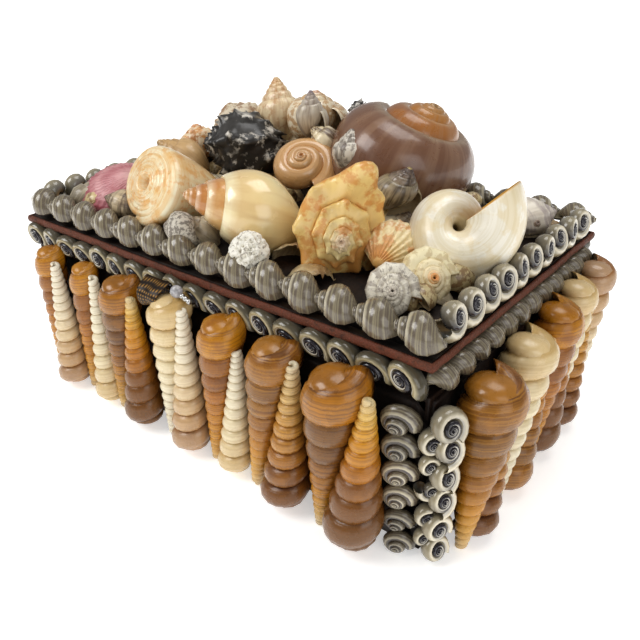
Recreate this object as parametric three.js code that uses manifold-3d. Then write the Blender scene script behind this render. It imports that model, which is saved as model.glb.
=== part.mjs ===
// Keepsake box covered with sea shells: a hollow case under a lift-off lid.
// Turret shells stand round the case, small periwinkles edge it, and a heap of shells crowns the lid.
// Millimetres, +Z up, +X along the long side, the front faces -Y, the origin is under the middle of the case.
import * as THREE from 'three';
import { mergeVertices } from 'three/addons/utils/BufferGeometryUtils.js';
import Module from 'manifold-3d';

const wasm = await Module();
wasm.setup();

// ---- driving dimensions -------------------------------------------------------------------
const GAP = 0.35; // clearance between neighbouring pieces
const SLIVER = 0.2; // features smaller than this are smoothed away after a cut

const CASE = {
  halfLength: 140,
  halfWidth: 85.5,
  shoulder: 84.3, // height of the ledge that the periwinkle course stands on
  lipInset: 5.5, // how far the inner lip stands back from the outer face
  height: 97.7,
  wall: 5, // thickness of the lip and of the floor
};
const LID = { halfLength: 140, halfWidth: 86.5, underside: 98, thickness: 4 };
const EDGING = { thickness: 1.7, bottom: 97.3, top: 102.6, gap: 0.3 };
const LID_TOP = LID.underside + LID.thickness + 0.3;

const RIBBON = { x: -24, width: 19, front: 104.5, back: 93.4, top: 96.8, drop: 12.5, thickness: 0.9 };
const BEAD = { x: 2.5, y: -97.2, z: 96.6, radius: 3.3, seeds: 3, seedRadius: 1.5 };

// Courses of periwinkles: how many, their size, and how far they stand out.
const LID_COURSE = { frontCount: 14, sideCount: 10, radius: 7.2, lean: 0.18 };
const RIM_COURSE = { frontCount: 18, sideCount: 12, radius: 6.1, length: 12 };
const CORNER_COURSE = { count: 6, pitch: 13.6, topRadius: 7.6, bottomRadius: 6.2 };

// Turrets along the front: x of the wide end, x of the tip, widest radius, wide end up or down,
// and height of the far end (the tip's height, or the mouth's).
const FRONT_TURRETS = [
  { wide: -111, tip: -125, radius: 8.8, up: true, top: 93 },
  { wide: -106, tip: -100, radius: 10.2, up: false, top: 86 },
  { wide: -78, tip: -93, radius: 8.4, up: true, top: 91 },
  { wide: -71, tip: -65, radius: 9.1, up: false, top: 87 },
  { wide: -41, tip: -59, radius: 11.4, up: true, top: 94 },
  { wide: -36, tip: -30, radius: 11.3, up: false, top: 86 },
  { wide: -2, tip: -15, radius: 11.3, up: true, top: 95 },
  { wide: 3, tip: 10, radius: 10.9, up: false, top: 91 },
  { wide: 35, tip: 20, radius: 11.3, up: true, top: 95 },
  { wide: 34, tip: 45, radius: 9.2, up: false, top: 80 },
  { wide: 70, tip: 50, radius: 12.3, up: true, top: 95 },
  { wide: 71, tip: 82, radius: 12, up: false, top: 88 },
  { wide: 106, tip: 94, radius: 14.4, up: true, top: 96 },
  { wide: 113, tip: 123, radius: 13.6, up: false, top: 88 },
];
// Turrets along the right end: the same, with y in place of x.
const RIGHT_TURRETS = [
  { wide: -59, tip: -73, radius: 14.5, up: true, top: 92 },
  { wide: -61, tip: -36, radius: 11, up: false, top: 74 },
  { wide: -20.5, tip: -36, radius: 13, up: true, top: 93 },
  { wide: -24, tip: 1, radius: 10.8, up: false, top: 80 },
  { wide: 15, tip: 2, radius: 12.2, up: true, top: 94 },
  { wide: 14, tip: 29.8, radius: 10.4, up: false, top: 82 },
  { wide: 42, tip: 31.6, radius: 10.6, up: true, top: 95 },
  { wide: 44, tip: 57, radius: 9.9, up: false, top: 84 },
  { wide: 69, tip: 61, radius: 10.5, up: true, top: 96 },
];
const TURRET_SIDES = 7;
const TURRET_WHORLS = 3; // whorls drawn in outline on the visible turrets
const PLAIN_SIDES = 6; // on the two hidden faces
const PLAIN_WHORLS = 1;
const BACK_PAIRS = 7; // crossing pairs along the back, and how far their middles reach
const BACK_SPAN = 108;
const TIP_RADIUS = 2.4;
const TURRET_STAND_OFF = 1.6; // glue between a turret and the case

// ---- solids -------------------------------------------------------------------------------
const up = new THREE.Vector3(0, 0, 1);

// A closed three.js geometry as a solid for joining and cutting.
function solid(geometry) {
  const bare = geometry.index ? geometry.clone() : geometry;
  for (const name of Object.keys(bare.attributes)) {
    if (name !== 'position') bare.deleteAttribute(name);
  }
  const merged = mergeVertices(bare, 1e-4);
  const corners = [...merged.index.array];
  const triVerts = [];
  for (let i = 0; i < corners.length; i += 3) {
    const [a, b, c] = corners.slice(i, i + 3);
    if (a !== b && b !== c && a !== c) triVerts.push(a, b, c);
  }
  const mesh = new wasm.Mesh({
    numProp: 3,
    vertProperties: new Float32Array(merged.attributes.position.array),
    triVerts: new Uint32Array(triVerts),
  });
  return new wasm.Manifold(mesh);
}

function moved(body, matrix) {
  return body.transform(matrix.elements);
}

function shifted(body, x, y, z) {
  return moved(body, new THREE.Matrix4().makeTranslation(x, y, z));
}

function joined(bodies) {
  return bodies.reduce((whole, body) => whole.add(body));
}

function largest(body) {
  return body.decompose().sort((a, b) => b.volume() - a.volume())[0];
}

function boxSolid(x0, x1, y0, y1, z0, z1) {
  const geometry = new THREE.BoxGeometry(x1 - x0, y1 - y0, z1 - z0);
  return shifted(solid(geometry), (x0 + x1) / 2, (y0 + y1) / 2, (z0 + z1) / 2);
}

// An outline of [radius, height] pairs, both as shares, turned about +Z. Its ends are on the axis.
// shape(angle, share of height, radius) may change the radius round the turn.
function turned(outline, radius, length, sides, grow = 0, shape = (angle, share, r) => r) {
  const last = outline.length - 1;
  const points = outline.map(([r, h], i) => {
    const end = i === 0 ? -grow : i === last ? grow : 0;
    return new THREE.Vector2(i === 0 || i === last ? 0 : r * radius + grow, h * length + end);
  });
  const geometry = new THREE.LatheGeometry(points, sides);
  geometry.rotateX(Math.PI / 2);
  const place = geometry.attributes.position;
  for (let i = 0; i < place.count; i += 1) {
    const x = place.getX(i);
    const y = place.getY(i);
    const r = Math.hypot(x, y);
    if (r < 1e-6) continue;
    const k = shape(Math.atan2(y, x), place.getZ(i) / length, r) / r;
    place.setX(i, x * k);
    place.setY(i, y * k);
  }
  return solid(geometry);
}

// Turns a body made up the +Z axis so that it points along axis, spun by roll about itself,
// with the point at height anchor on its own axis carried to at.
function aimed(body, axis, at, roll = 0, anchor = 0) {
  const turn = new THREE.Quaternion().setFromUnitVectors(up, axis.clone().normalize());
  turn.multiply(new THREE.Quaternion().setFromAxisAngle(up, roll));
  const matrix = new THREE.Matrix4().makeRotationFromQuaternion(turn);
  matrix.setPosition(at);
  return moved(shifted(body, 0, 0, -anchor), matrix);
}

function vector(x, y, z) {
  return new THREE.Vector3(x, y, z);
}

// ---- turrets ------------------------------------------------------------------------------
// Outline of a turret from its wide end (height 0) to its tip (height 1): bulging whorls between
// pinched sutures, each whorl smaller than the last.
function turretOutline(whorls, tipShare) {
  const outline = [[0, 0], [0.72, 0.012]];
  const ratio = tipShare ** (1 / whorls);
  const pinch = 0.86;
  for (let k = 0; k < whorls; k += 1) {
    const near = ratio ** k;
    const far = ratio ** (k + 1);
    const start = (1 - near) / (1 - tipShare);
    const end = (1 - far) / (1 - tipShare);
    outline.push([near, Math.max(0.05, start + (end - start) * 0.32)]);
    if (k < whorls - 1) outline.push([far * pinch + near * (1 - pinch) * 0.6, end]);
  }
  outline.push([tipShare, 0.985], [0, 1]);
  return outline;
}

// One turret: wide and tip are points on its axis at its two ends.
function turret({ radius }, wide, tip, sides, whorls, grow = 0) {
  const axis = tip.clone().sub(wide);
  const outline = turretOutline(whorls, TIP_RADIUS / radius);
  return aimed(turned(outline, radius, axis.length(), sides, grow), axis, wide);
}

// The broken mouth of an upright turret: a hollow open to the top and to the case behind it.
function mouth({ radius }, wide, inward) {
  const hollow = solid(new THREE.SphereGeometry(radius * 0.72, 6, 4));
  const centre = wide.clone().addScaledVector(inward, radius * 0.42);
  centre.z += radius * 0.12;
  return shifted(hollow, centre.x, centre.y, centre.z);
}

// An even run of turrets in crossing pairs, one wide end up and one down.
function plainRun(halfSpan, pairs) {
  const pitch = (2 * halfSpan) / (pairs - 1);
  const radius = pitch * 0.345;
  return Array.from({ length: pairs }, (_, i) => -halfSpan + i * pitch).flatMap((middle) => [
    { wide: middle - pitch * 0.03, tip: middle - pitch * 0.53, radius, up: true, top: 94 },
    { wide: middle + pitch * 0.1, tip: middle + pitch * 0.3, radius, up: false, top: 87 },
  ]);
}

// The two ends of a turret on a face: along is the face's direction, out its outward normal.
function turretEnds(spec, face) {
  const reach = face.distance + TURRET_STAND_OFF + spec.radius;
  const foot = 0.4;
  const wideHeight = spec.up ? spec.top : foot;
  const tipHeight = spec.up ? foot : spec.top;
  const point = (s, d, z) => face.along.clone().multiplyScalar(s).addScaledVector(face.out, d).setZ(z);
  return {
    wide: point(spec.wide, reach, wideHeight),
    tip: point(spec.tip, reach + (spec.up ? -1.5 : 3.5), tipHeight),
  };
}

const FACES = {
  front: { along: vector(1, 0, 0), out: vector(0, -1, 0), distance: CASE.halfWidth, half: CASE.halfLength },
  right: { along: vector(0, 1, 0), out: vector(1, 0, 0), distance: CASE.halfLength, half: CASE.halfWidth },
  back: { along: vector(-1, 0, 0), out: vector(0, 1, 0), distance: CASE.halfWidth, half: CASE.halfLength },
  left: { along: vector(0, -1, 0), out: vector(-1, 0, 0), distance: CASE.halfLength, half: CASE.halfWidth },
};

// ---- periwinkles --------------------------------------------------------------------------
const PERIWINKLE = [[0, 0], [0.8, 0.1], [1, 0.48], [0.44, 0.8], [0, 1]];
const PLAIN_PERIWINKLE = [[0, 0], [0.85, 0.08], [1, 0.45], [0, 1]];
const PERIWINKLE_SIDES = 5;
const PLAIN_PERIWINKLE_SIDES = 4;

// One shell made up the +Z axis, spun about it, and larger all round by grow.
function periwinkle(radius, length, plain, grow, spin = 0) {
  const outline = plain ? PLAIN_PERIWINKLE : PERIWINKLE;
  const sides = plain ? PLAIN_PERIWINKLE_SIDES : PERIWINKLE_SIDES;
  const body = turned(outline, radius, length, sides, grow);
  return moved(body, new THREE.Matrix4().makeRotationZ(spin));
}

// A repeatable spread of small differences between neighbours, from -1 to 1.
function vary(index, salt) {
  return Math.sin(index * 12.9898 + salt * 78.233);
}

// A course along a face: count shells spaced evenly over its length.
function course(face, count, halfSpan, shell) {
  const pitch = (2 * halfSpan) / (count - 1);
  const shells = [];
  for (let i = 0; i < count; i += 1) {
    const spot = face.along.clone().multiplyScalar(-halfSpan + i * pitch);
    shells.push(shell(spot, i, pitch));
  }
  return joined(shells);
}

// A shell of a course that faces outward, widened along the course until it meets its neighbours.
function facing(name, radius, length, pitch, plain, tilt, at, grow) {
  const long = name === 'front' || name === 'back';
  const body = periwinkle(radius, length, plain, grow, long ? Math.PI / 2 : 0);
  const widen = (pitch * 0.57) / radius;
  const scale = new THREE.Matrix4().makeScale(long ? widen : 1, long ? 1 : widen, 1);
  const axis = FACES[name].out.clone().setZ(tilt);
  return aimed(moved(body, scale), axis, at, 0, length / 2);
}

// Course on the lid's edge. On the long sides the shells lie along the edge with their spires
// one way; on the short sides they face outward.
function lidCourse(name, grow) {
  const face = FACES[name];
  const long = name === 'front' || name === 'back';
  const plain = name === 'back' || name === 'left';
  const count = long ? LID_COURSE.frontCount : LID_COURSE.sideCount;
  const edge = long ? LID.halfWidth : LID.halfLength;
  const span = (long ? LID.halfLength : LID.halfWidth) - (long ? 9 : 18);
  return course(face, count, span, (spot, i, pitch) => {
    const radius = LID_COURSE.radius * (1 + 0.03 * vary(i, 1));
    const at = spot.addScaledVector(face.out, edge - radius + 1.2).setZ(LID_TOP + radius + 0.1);
    if (!long) return facing(name, radius, radius * 1.9, pitch, plain, 0.15, at, grow);
    const axis = face.along.clone().negate().addScaledVector(face.out, LID_COURSE.lean);
    const length = pitch * 1.22;
    return aimed(periwinkle(radius, length, plain, grow), axis, at, 0, length * 0.5);
  });
}

// Course under the lid, on the case's ledge. On the front it faces outward; at the ends the
// shells lie along the wall with their spires back.
function rimCourse(name, grow) {
  const face = FACES[name];
  const long = name === 'front' || name === 'back';
  const count = long ? RIM_COURSE.frontCount : RIM_COURSE.sideCount;
  const lip = face.distance - CASE.lipInset + GAP;
  const { radius, length } = RIM_COURSE;
  return course(face, count, face.half - 9, (spot, i, pitch) => {
    const at = spot.addScaledVector(face.out, lip + radius).setZ(CASE.height - GAP - radius);
    if (long) return facing(name, radius, length, pitch, true, 0, at, grow);
    const axis = face.along.clone().addScaledVector(face.out, 0.1);
    return aimed(periwinkle(radius * 0.95, pitch * 1.25, true, grow), axis, at, 0, pitch * 0.6);
  });
}

// The two columns that close a corner: turned so that it stands at the front right.
function cornerColumns(grow) {
  const { count, pitch, topRadius, bottomRadius } = CORNER_COURSE;
  const shells = [];
  for (let i = 0; i < count; i += 1) {
    const share = i / (count - 1);
    const radius = bottomRadius + (topRadius - bottomRadius) * share;
    const z = bottomRadius + 0.6 + i * pitch;
    const side = vector(CASE.halfLength + GAP + radius, -CASE.halfWidth + radius * 0.15, z);
    const front = vector(CASE.halfLength - radius * 0.5, -CASE.halfWidth - GAP - radius * 0.95, z);
    const sideBody = periwinkle(radius, radius * 1.9, false, grow);
    const frontBody = periwinkle(radius, pitch * 1.25, false, grow);
    shells.push(aimed(sideBody, vector(1, -0.15, 0.1), side, 0, radius));
    shells.push(aimed(frontBody, vector(0.1, -0.1, -1), front, 0, pitch * 0.55));
  }
  return joined(shells);
}

// ---- case, lid and trim -------------------------------------------------------------------
function caseSolid() {
  const { halfLength: hx, halfWidth: hy, shoulder, lipInset, height, wall } = CASE;
  const carcass = boxSolid(-hx, hx, -hy, hy, 0, shoulder);
  const lip = boxSolid(-hx + lipInset, hx - lipInset, -hy + lipInset, hy - lipInset, 0, height);
  const inset = lipInset + wall;
  const inside = boxSolid(-hx + inset, hx - inset, -hy + inset, hy - inset, wall, height + 1);
  return carcass.add(lip).subtract(inside);
}

function lidBoard() {
  const { halfLength: hx, halfWidth: hy, underside, thickness } = LID;
  return boxSolid(-hx, hx, -hy, hy, underside, underside + thickness);
}

function lidEdging() {
  const { thickness, bottom, top, gap } = EDGING;
  const inner = { x: LID.halfLength + gap, y: LID.halfWidth + gap };
  const outer = { x: inner.x + thickness, y: inner.y + thickness };
  const band = boxSolid(-outer.x, outer.x, -outer.y, outer.y, bottom, top);
  return band.subtract(boxSolid(-inner.x, inner.x, -inner.y, inner.y, bottom - 1, top + 1));
}

// A strip of ribbon bent into a loop, seen from its end as a drop shape, or that loop filled in.
function ribbonLoop(filled = false) {
  const { x, width, front, back, top, drop, thickness } = RIBBON;
  const depth = front - back;
  const drawLoop = (path, inset) => {
    path.moveTo(inset, -inset);
    path.quadraticCurveTo(inset, -drop + inset, depth * 0.55, -drop + inset);
    path.quadraticCurveTo(depth - inset, -drop + inset, depth - inset, -drop * 0.45);
    path.quadraticCurveTo(depth - inset, -inset, inset, -inset);
    return path;
  };
  const shape = drawLoop(new THREE.Shape(), 0);
  if (!filled) shape.holes.push(drawLoop(new THREE.Path(), thickness));
  const geometry = new THREE.ExtrudeGeometry(shape, { depth: width, bevelEnabled: false, curveSegments: 4 });
  const frame = new THREE.Matrix4().makeBasis(vector(0, -1, 0), vector(0, 0, 1), vector(-1, 0, 0));
  frame.setPosition(x + width, -back, top);
  return moved(solid(geometry), frame);
}

function tabBeads() {
  const { x, y, z, radius, seeds, seedRadius } = BEAD;
  const beads = [shifted(solid(new THREE.SphereGeometry(radius, 8, 5)), x, y, z)];
  for (let i = 0; i < seeds; i += 1) {
    const along = radius + seedRadius * (0.6 + 1.6 * i);
    const seed = solid(new THREE.SphereGeometry(seedRadius, 6, 4));
    beads.push(shifted(seed, x + along * 0.94, y, z - along * 0.34));
  }
  return joined(beads);
}

// ---- shells of the heap -------------------------------------------------------------------
const OUTLINES = {
  cone: [[0, 0], [0.22, 0.02], [0.6, 0.4], [0.97, 0.86], [0.9, 0.93], [0.5, 0.97], [0, 1]],
  stepped: [[0, 0], [0.5, 0.02], [0.93, 0.2], [1, 0.38], [0.82, 0.56], [0.48, 0.62], [0.43, 0.74],
    [0.27, 0.79], [0.2, 0.9], [0, 1]],
  moon: [[0, 0], [0.62, 0.05], [0.97, 0.32], [0.98, 0.55], [0.74, 0.8], [0.38, 0.92], [0, 1]],
  conch: [[0, 0], [0.16, 0.03], [0.55, 0.42], [1, 0.7], [0.66, 0.8], [0.62, 0.85], [0.3, 0.92], [0, 1]],
  turban: [[0, 0], [0.5, 0.01], [0.9, 0.12], [1, 0.32], [0.95, 0.55], [0.66, 0.66], [0.6, 0.8],
    [0.3, 0.88], [0.22, 0.96], [0, 1]],
  whelk: [[0, 0], [0.32, 0.02], [0.86, 0.26], [1, 0.42], [0.66, 0.6], [0.56, 0.7], [0.28, 0.82], [0, 1]],
  knobbly: [[0, 0], [0.3, 0.03], [0.85, 0.35], [1, 0.6], [0.62, 0.82], [0, 1]],
  valve: [[0, 0.72], [0.6, 0.5], [0.97, 0.02], [1, 0], [0.97, 0.14], [0.64, 0.76], [0, 1]],
};

// Ways that a shell departs from a plain turned shape. Each takes its own sizes and gives the
// function that turned() calls.
const SHAPES = {
  round: () => (angle, share, r) => r,
  lipped: () => (angle, share, r) => r * (1 + 0.16 * Math.cos(angle) * (1 - share)),
  starred: ({ points, depth, from, to, horn, hornAt }) => (angle, share, r) => {
    if (share < from || share > to) return r;
    const tooth = Math.abs(Math.sin((angle * points) / 2));
    const spike = Math.abs(angle - hornAt) < Math.PI / points / 2 ? horn : 0;
    return r * (1 - depth + depth * 2 * (1 - tooth) + spike);
  },
  spiny: ({ points, depth }) => (angle, share, r) => {
    const frill = Math.cos(angle * points + share * 9);
    return r * (1 + depth * frill);
  },
  fan: ({ ribs }) => (angle, share, r) => r * (0.88 + 0.12 * Math.cos(angle) + 0.03 * Math.cos(angle * ribs)),
};

// The heap, from the pieces that lie on the lid to those that lie on them. at is the shell's
// middle, axis points to its spire, and roll spins it about that axis.
const HEAP = [
  { name: 'cone_shell', outline: 'cone', radius: 22.5, length: 62, sides: 11,
    at: [-41, -43, 126], axis: [-0.546, -0.822, 0.163] },
  { name: 'banded_snail', outline: 'stepped', radius: 22.5, length: 58, sides: 10, shape: 'lipped',
    at: [10, -56, 126], axis: [-0.62, -0.68, 0.3], roll: 1 },
  { name: 'yellow_conch', outline: 'conch', radius: 26, length: 50, sides: 16,
    shape: 'starred', points: 8, depth: 0.1, from: 0.6, to: 0.87, horn: 0.45, hornAt: 2.4,
    at: [53, -38, 128], axis: [0.5, -0.8, 0.05] },
  { name: 'white_turban', outline: 'turban', radius: 25, length: 42, sides: 10, shape: 'lipped',
    at: [108, -7, 127], axis: [-0.5, 0.6, -0.4], roll: 2,
    dents: [{ at: [127, -14, 143], radius: 11 }, { at: [109, -25, 133], radius: 6.5 }] },
  { name: 'brown_snail', outline: 'turban', radius: 40, length: 62, sides: 12,
    at: [39, 45, 134.5], axis: [0.12, 0.0, 0.98] },
  { name: 'moon_snail', outline: 'moon', radius: 19, length: 40, sides: 10,
    at: [3, 8, 129], axis: [0.35, -0.5, 0.76] },
  { name: 'pink_scallop', outline: 'valve', radius: 23, length: 12, sides: 10, shape: 'fan', ribs: 5,
    at: [-96, -55, 114], axis: [-0.1, -0.5, 0.86], roll: 3.6 },
  { name: 'frog_shell', outline: 'knobbly', radius: 13, length: 27, sides: 8, shape: 'spiny', points: 4, depth: 0.06,
    at: [112, -44, 117], axis: [0.62, -0.55, 0.42] },
  { name: 'drupe_shell', outline: 'knobbly', radius: 12.5, length: 24, sides: 8, shape: 'spiny', points: 4, depth: 0.06,
    at: [108, -66, 117], axis: [0.5, -0.7, 0.5] },
  { name: 'ribbed_shell', outline: 'valve', radius: 15, length: 12, sides: 8, shape: 'fan', ribs: 4,
    at: [90, -40, 122], axis: [0.5, -0.7, 0.5], roll: 1.5 },
  { name: 'black_murex', outline: 'knobbly', radius: 23, length: 62, sides: 10, shape: 'spiny', points: 5, depth: 0.12,
    at: [-58, 22, 131], axis: [-0.8, -0.35, -0.05] },
  { name: 'back_whelk', outline: 'whelk', radius: 19, length: 62, sides: 6,
    at: [-52, 62, 121.5], axis: [-1, 0.1, 0.05] },
  { name: 'back_cone', outline: 'cone', radius: 18, length: 52, sides: 6,
    at: [2, 62, 120], axis: [-0.9, 0.3, 0.1] },
  { name: 'crusted_conch', outline: 'knobbly', radius: 20, length: 56, sides: 8, shape: 'spiny', points: 3, depth: 0.08,
    at: [-92, 46, 128], axis: [-0.4, -0.1, 0.7] },
  { name: 'orange_drupe', outline: 'knobbly', radius: 14, length: 42, sides: 7, shape: 'spiny', points: 3, depth: 0.1,
    at: [-110, 26, 122], axis: [-0.3, 0.1, 0.9] },
  { name: 'tan_whelk', outline: 'whelk', radius: 12.5, length: 50, sides: 7,
    at: [-104, 4, 120], axis: [-0.6, -0.3, 0.45] },
  { name: 'grey_spire', outline: 'whelk', radius: 8.5, length: 30, sides: 7,
    at: [-98, -16, 120], axis: [-0.5, -0.1, 0.85] },
  { name: 'spired_strombus', outline: 'whelk', radius: 15, length: 58, sides: 8,
    at: [-60, 52, 143], axis: [-0.15, 0.1, 0.98] },
  { name: 'speckled_globe', outline: 'moon', radius: 18.5, length: 46, sides: 8,
    at: [-20, 47, 146], axis: [0.05, 0.06, 0.99] },
  { name: 'grey_nassa', outline: 'whelk', radius: 9.5, length: 34, sides: 7,
    at: [-9, 26, 155], axis: [0.02, 0, 1] },
  { name: 'painted_nassa', outline: 'whelk', radius: 9, length: 26, sides: 7,
    at: [0, 22, 146], axis: [-0.6, -0.2, 0.5] },
  { name: 'branched_murex', outline: 'knobbly', radius: 9, length: 22, sides: 6, shape: 'spiny', points: 3, depth: 0.15,
    at: [9, 50, 156], axis: [0.6, 0.2, 0.5] },
  { name: 'dark_nassa', outline: 'whelk', radius: 12, length: 32, sides: 8,
    at: [65, 4, 131], axis: [0.35, 0.1, 0.82] },
  { name: 'net_whelk', outline: 'whelk', radius: 11, length: 30, sides: 8,
    at: [30, 13, 143], axis: [-0.02, 0.1, 0.98] },
  { name: 'crusted_whelk', outline: 'knobbly', radius: 9.5, length: 27, sides: 7,
    at: [-16, -75, 116], axis: [-0.85, -0.5, 0.1] },
  { name: 'coral_ball', outline: 'knobbly', radius: 10.5, length: 21, sides: 7,
    at: [33, -76, 118.5], axis: [0.3, -0.6, 0.6] },
  { name: 'net_nassa', outline: 'whelk', radius: 8.5, length: 26, sides: 7,
    at: [-73, -68, 117], axis: [-0.9, -0.3, 0.2] },
  { name: 'right_whelk', outline: 'whelk', radius: 12, length: 42, sides: 7,
    at: [119, 46, 116], axis: [0.5, 0.85, 0.1] },
];

// One shell of the heap, larger all round by grow.
function heapShell(spec, grow = 0) {
  const shape = SHAPES[spec.shape ?? 'round'](spec);
  const body = turned(OUTLINES[spec.outline], spec.radius, spec.length, spec.sides, grow, shape);
  const whole = aimed(body, vector(...spec.axis), vector(...spec.at), spec.roll ?? 0, spec.length / 2);
  const dents = grow ? [] : spec.dents ?? [];
  return dents.reduce((rest, { at, radius }) => {
    return rest.subtract(shifted(solid(new THREE.SphereGeometry(radius, 7, 4)), ...at));
  }, whole);
}

// ---- building the scene graph -------------------------------------------------------------
const FINISHES = {
  board: { color: '#3b2a20', roughness: 0.8 },
  leather: { color: '#6e3d2c', roughness: 0.7 },
  ribbon: { color: '#5b4020', roughness: 0.5 },
  glass: { color: '#c9c8c4', roughness: 0.15 },
  periwinkle: { color: '#a39a86', roughness: 0.35 },
  turret: { color: '#c99a55', roughness: 0.3 },
  shell: { color: '#e6cf9a', roughness: 0.35 },
};

const object = new THREE.Group();

function show(name, body, finish) {
  const data = body.getMesh();
  const geometry = new THREE.BufferGeometry();
  geometry.setAttribute('position', new THREE.BufferAttribute(data.vertProperties, data.numProp));
  geometry.setIndex(new THREE.BufferAttribute(data.triVerts, 1));
  const mesh = new THREE.Mesh(geometry, new THREE.MeshStandardMaterial({ metalness: 0, ...FINISHES[finish] }));
  mesh.name = name;
  object.add(mesh);
}

// Pieces already placed, as { body, grown }, so that a later one can be cut clear of them.
const placed = [];

function touches(a, b) {
  const p = a.boundingBox();
  const q = b.boundingBox();
  return [0, 1, 2].every((k) => p.min[k] <= q.max[k] && q.min[k] <= p.max[k]);
}

function place(name, finish, body, grown) {
  const near = placed.filter((other) => touches(body, other.grown));
  const clear = near.reduce((rest, other) => rest.subtract(other.grown), body);
  const whole = largest(clear).simplify(SLIVER);
  placed.push({ body: whole, grown });
  show(name, whole, finish);
}

// A body that is cut to its neighbours' clearance keeps its own by a small swelling from its middle.
function swollen(body) {
  const { min, max } = body.boundingBox();
  const middle = [0, 1, 2].map((k) => (min[k] + max[k]) / 2);
  const scale = [0, 1, 2].map((k) => 1 + (2 * GAP) / (max[k] - min[k]));
  const matrix = new THREE.Matrix4().makeTranslation(...middle);
  matrix.multiply(new THREE.Matrix4().makeScale(...scale));
  matrix.multiply(new THREE.Matrix4().makeTranslation(...middle.map((value) => -value)));
  return moved(body, matrix);
}

// A turret and the same one larger by the gap. Only the visible ones have their mouth cut.
function turretPair(spec, face, sides, whorls) {
  const { wide, tip } = turretEnds(spec, face);
  const body = turret(spec, wide, tip, sides, whorls);
  const open = spec.up && whorls === TURRET_WHORLS;
  const hollow = open ? mouth(spec, wide, face.out.clone().negate()) : null;
  return { body: hollow ? body.subtract(hollow) : body, grown: turret(spec, wide, tip, sides, whorls, GAP) };
}

// Turrets as pieces of their own, or fused where they touch.
function addTurrets(faceName, specs) {
  specs.forEach((spec, i) => {
    const { body, grown } = turretPair(spec, FACES[faceName], TURRET_SIDES, TURRET_WHORLS);
    place(`${faceName}_turret_${String(i + 1).padStart(2, '0')}`, 'turret', body, grown);
  });
}

function addFusedTurrets(faceName, specs, sides, whorls) {
  const pairs = specs.map((spec) => turretPair(spec, FACES[faceName], sides, whorls));
  place(`${faceName}_turrets`, 'turret', joined(pairs.map((p) => p.body)), joined(pairs.map((p) => p.grown)));
}

place('box_case', 'board', caseSolid(), caseSolid());
place('lid_board', 'board', lidBoard(), lidBoard());
place('lid_edging', 'leather', lidEdging(), lidEdging());
place('ribbon_tab', 'ribbon', ribbonLoop(), swollen(ribbonLoop(true)));
place('tab_beads', 'glass', tabBeads(), swollen(tabBeads()));
for (const name of Object.keys(FACES)) {
  place(`lid_snails_${name}`, 'periwinkle', lidCourse(name, 0), lidCourse(name, GAP));
  place(`rim_snails_${name}`, 'periwinkle', rimCourse(name, 0), rimCourse(name, GAP));
}
const columns = [cornerColumns(0), cornerColumns(GAP)];
const halfTurn = new THREE.Matrix4().makeRotationZ(Math.PI);
place('corner_snails_front', 'periwinkle', ...columns);
place('corner_snails_back', 'periwinkle', ...columns.map((body) => moved(body, halfTurn)));
addTurrets('front', FRONT_TURRETS);
addFusedTurrets('right', RIGHT_TURRETS, 6, TURRET_WHORLS);
addFusedTurrets('left', RIGHT_TURRETS, PLAIN_SIDES, PLAIN_WHORLS);
addFusedTurrets('back', plainRun(BACK_SPAN, BACK_PAIRS), PLAIN_SIDES, PLAIN_WHORLS);
for (const spec of HEAP) place(spec.name, 'shell', heapShell(spec), heapShell(spec, GAP));

export default object;
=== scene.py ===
# Looks of a keepsake box covered with sea shells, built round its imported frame. Metres, +Z up, front to -Y.
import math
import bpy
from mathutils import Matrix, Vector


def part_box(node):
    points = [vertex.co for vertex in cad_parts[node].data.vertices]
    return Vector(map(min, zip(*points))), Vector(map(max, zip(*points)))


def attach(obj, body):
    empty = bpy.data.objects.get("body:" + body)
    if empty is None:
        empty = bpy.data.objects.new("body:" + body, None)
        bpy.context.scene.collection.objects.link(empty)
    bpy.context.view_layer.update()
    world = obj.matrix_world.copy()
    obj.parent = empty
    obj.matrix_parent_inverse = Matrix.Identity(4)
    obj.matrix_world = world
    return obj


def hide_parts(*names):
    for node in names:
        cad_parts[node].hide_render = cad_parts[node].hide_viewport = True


bl_info = {
    "name": "Shell box",
    "version": (1, 0, 0),
    "blender": (4, 5, 0),
    "location": "3D View > Sidebar > Shell Box",
    "description": "Builds the looks of a keepsake box covered with sea shells",
    "category": "Add Mesh",
}

import bmesh
import bpy
import numpy as np
from mathutils import Matrix, Quaternion, Vector

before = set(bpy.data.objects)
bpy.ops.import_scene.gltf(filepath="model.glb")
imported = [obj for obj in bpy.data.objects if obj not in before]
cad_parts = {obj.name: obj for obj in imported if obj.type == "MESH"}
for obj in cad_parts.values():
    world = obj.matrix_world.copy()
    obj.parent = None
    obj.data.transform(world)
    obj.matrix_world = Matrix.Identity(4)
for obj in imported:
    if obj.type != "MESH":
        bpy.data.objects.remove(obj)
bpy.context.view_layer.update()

MM = 0.001
TAU = 2 * math.pi
BODY = "root"


# ---- small tools ------------------------------------------------------------------------------
def hexa(code):
    """An sRGB hex colour as linear RGBA."""
    values = [int(code[i : i + 2], 16) / 255 for i in (1, 3, 5)]
    return tuple(v / 12.92 if v <= 0.04045 else ((v + 0.055) / 1.055) ** 2.4 for v in values) + (1.0,)


def tone(colour):
    """A hex code, or a user's linear RGB, as linear RGBA."""
    return hexa(colour) if isinstance(colour, str) else (*colour[:3], 1.0)


def connect(tree, node, inputs):
    """Sets a node's inputs, given by name or number, from values, output sockets or whole nodes."""
    for key, value in inputs.items():
        named = (socket for socket in node.inputs if socket.enabled and socket.name == key)
        socket = node.inputs[key] if isinstance(key, int) else next(named)
        if isinstance(value, bpy.types.Node):
            value = next(s for s in value.outputs if s.enabled)
        if isinstance(value, bpy.types.NodeSocket):
            tree.links.new(value, socket)
        else:
            socket.default_value = value


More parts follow.
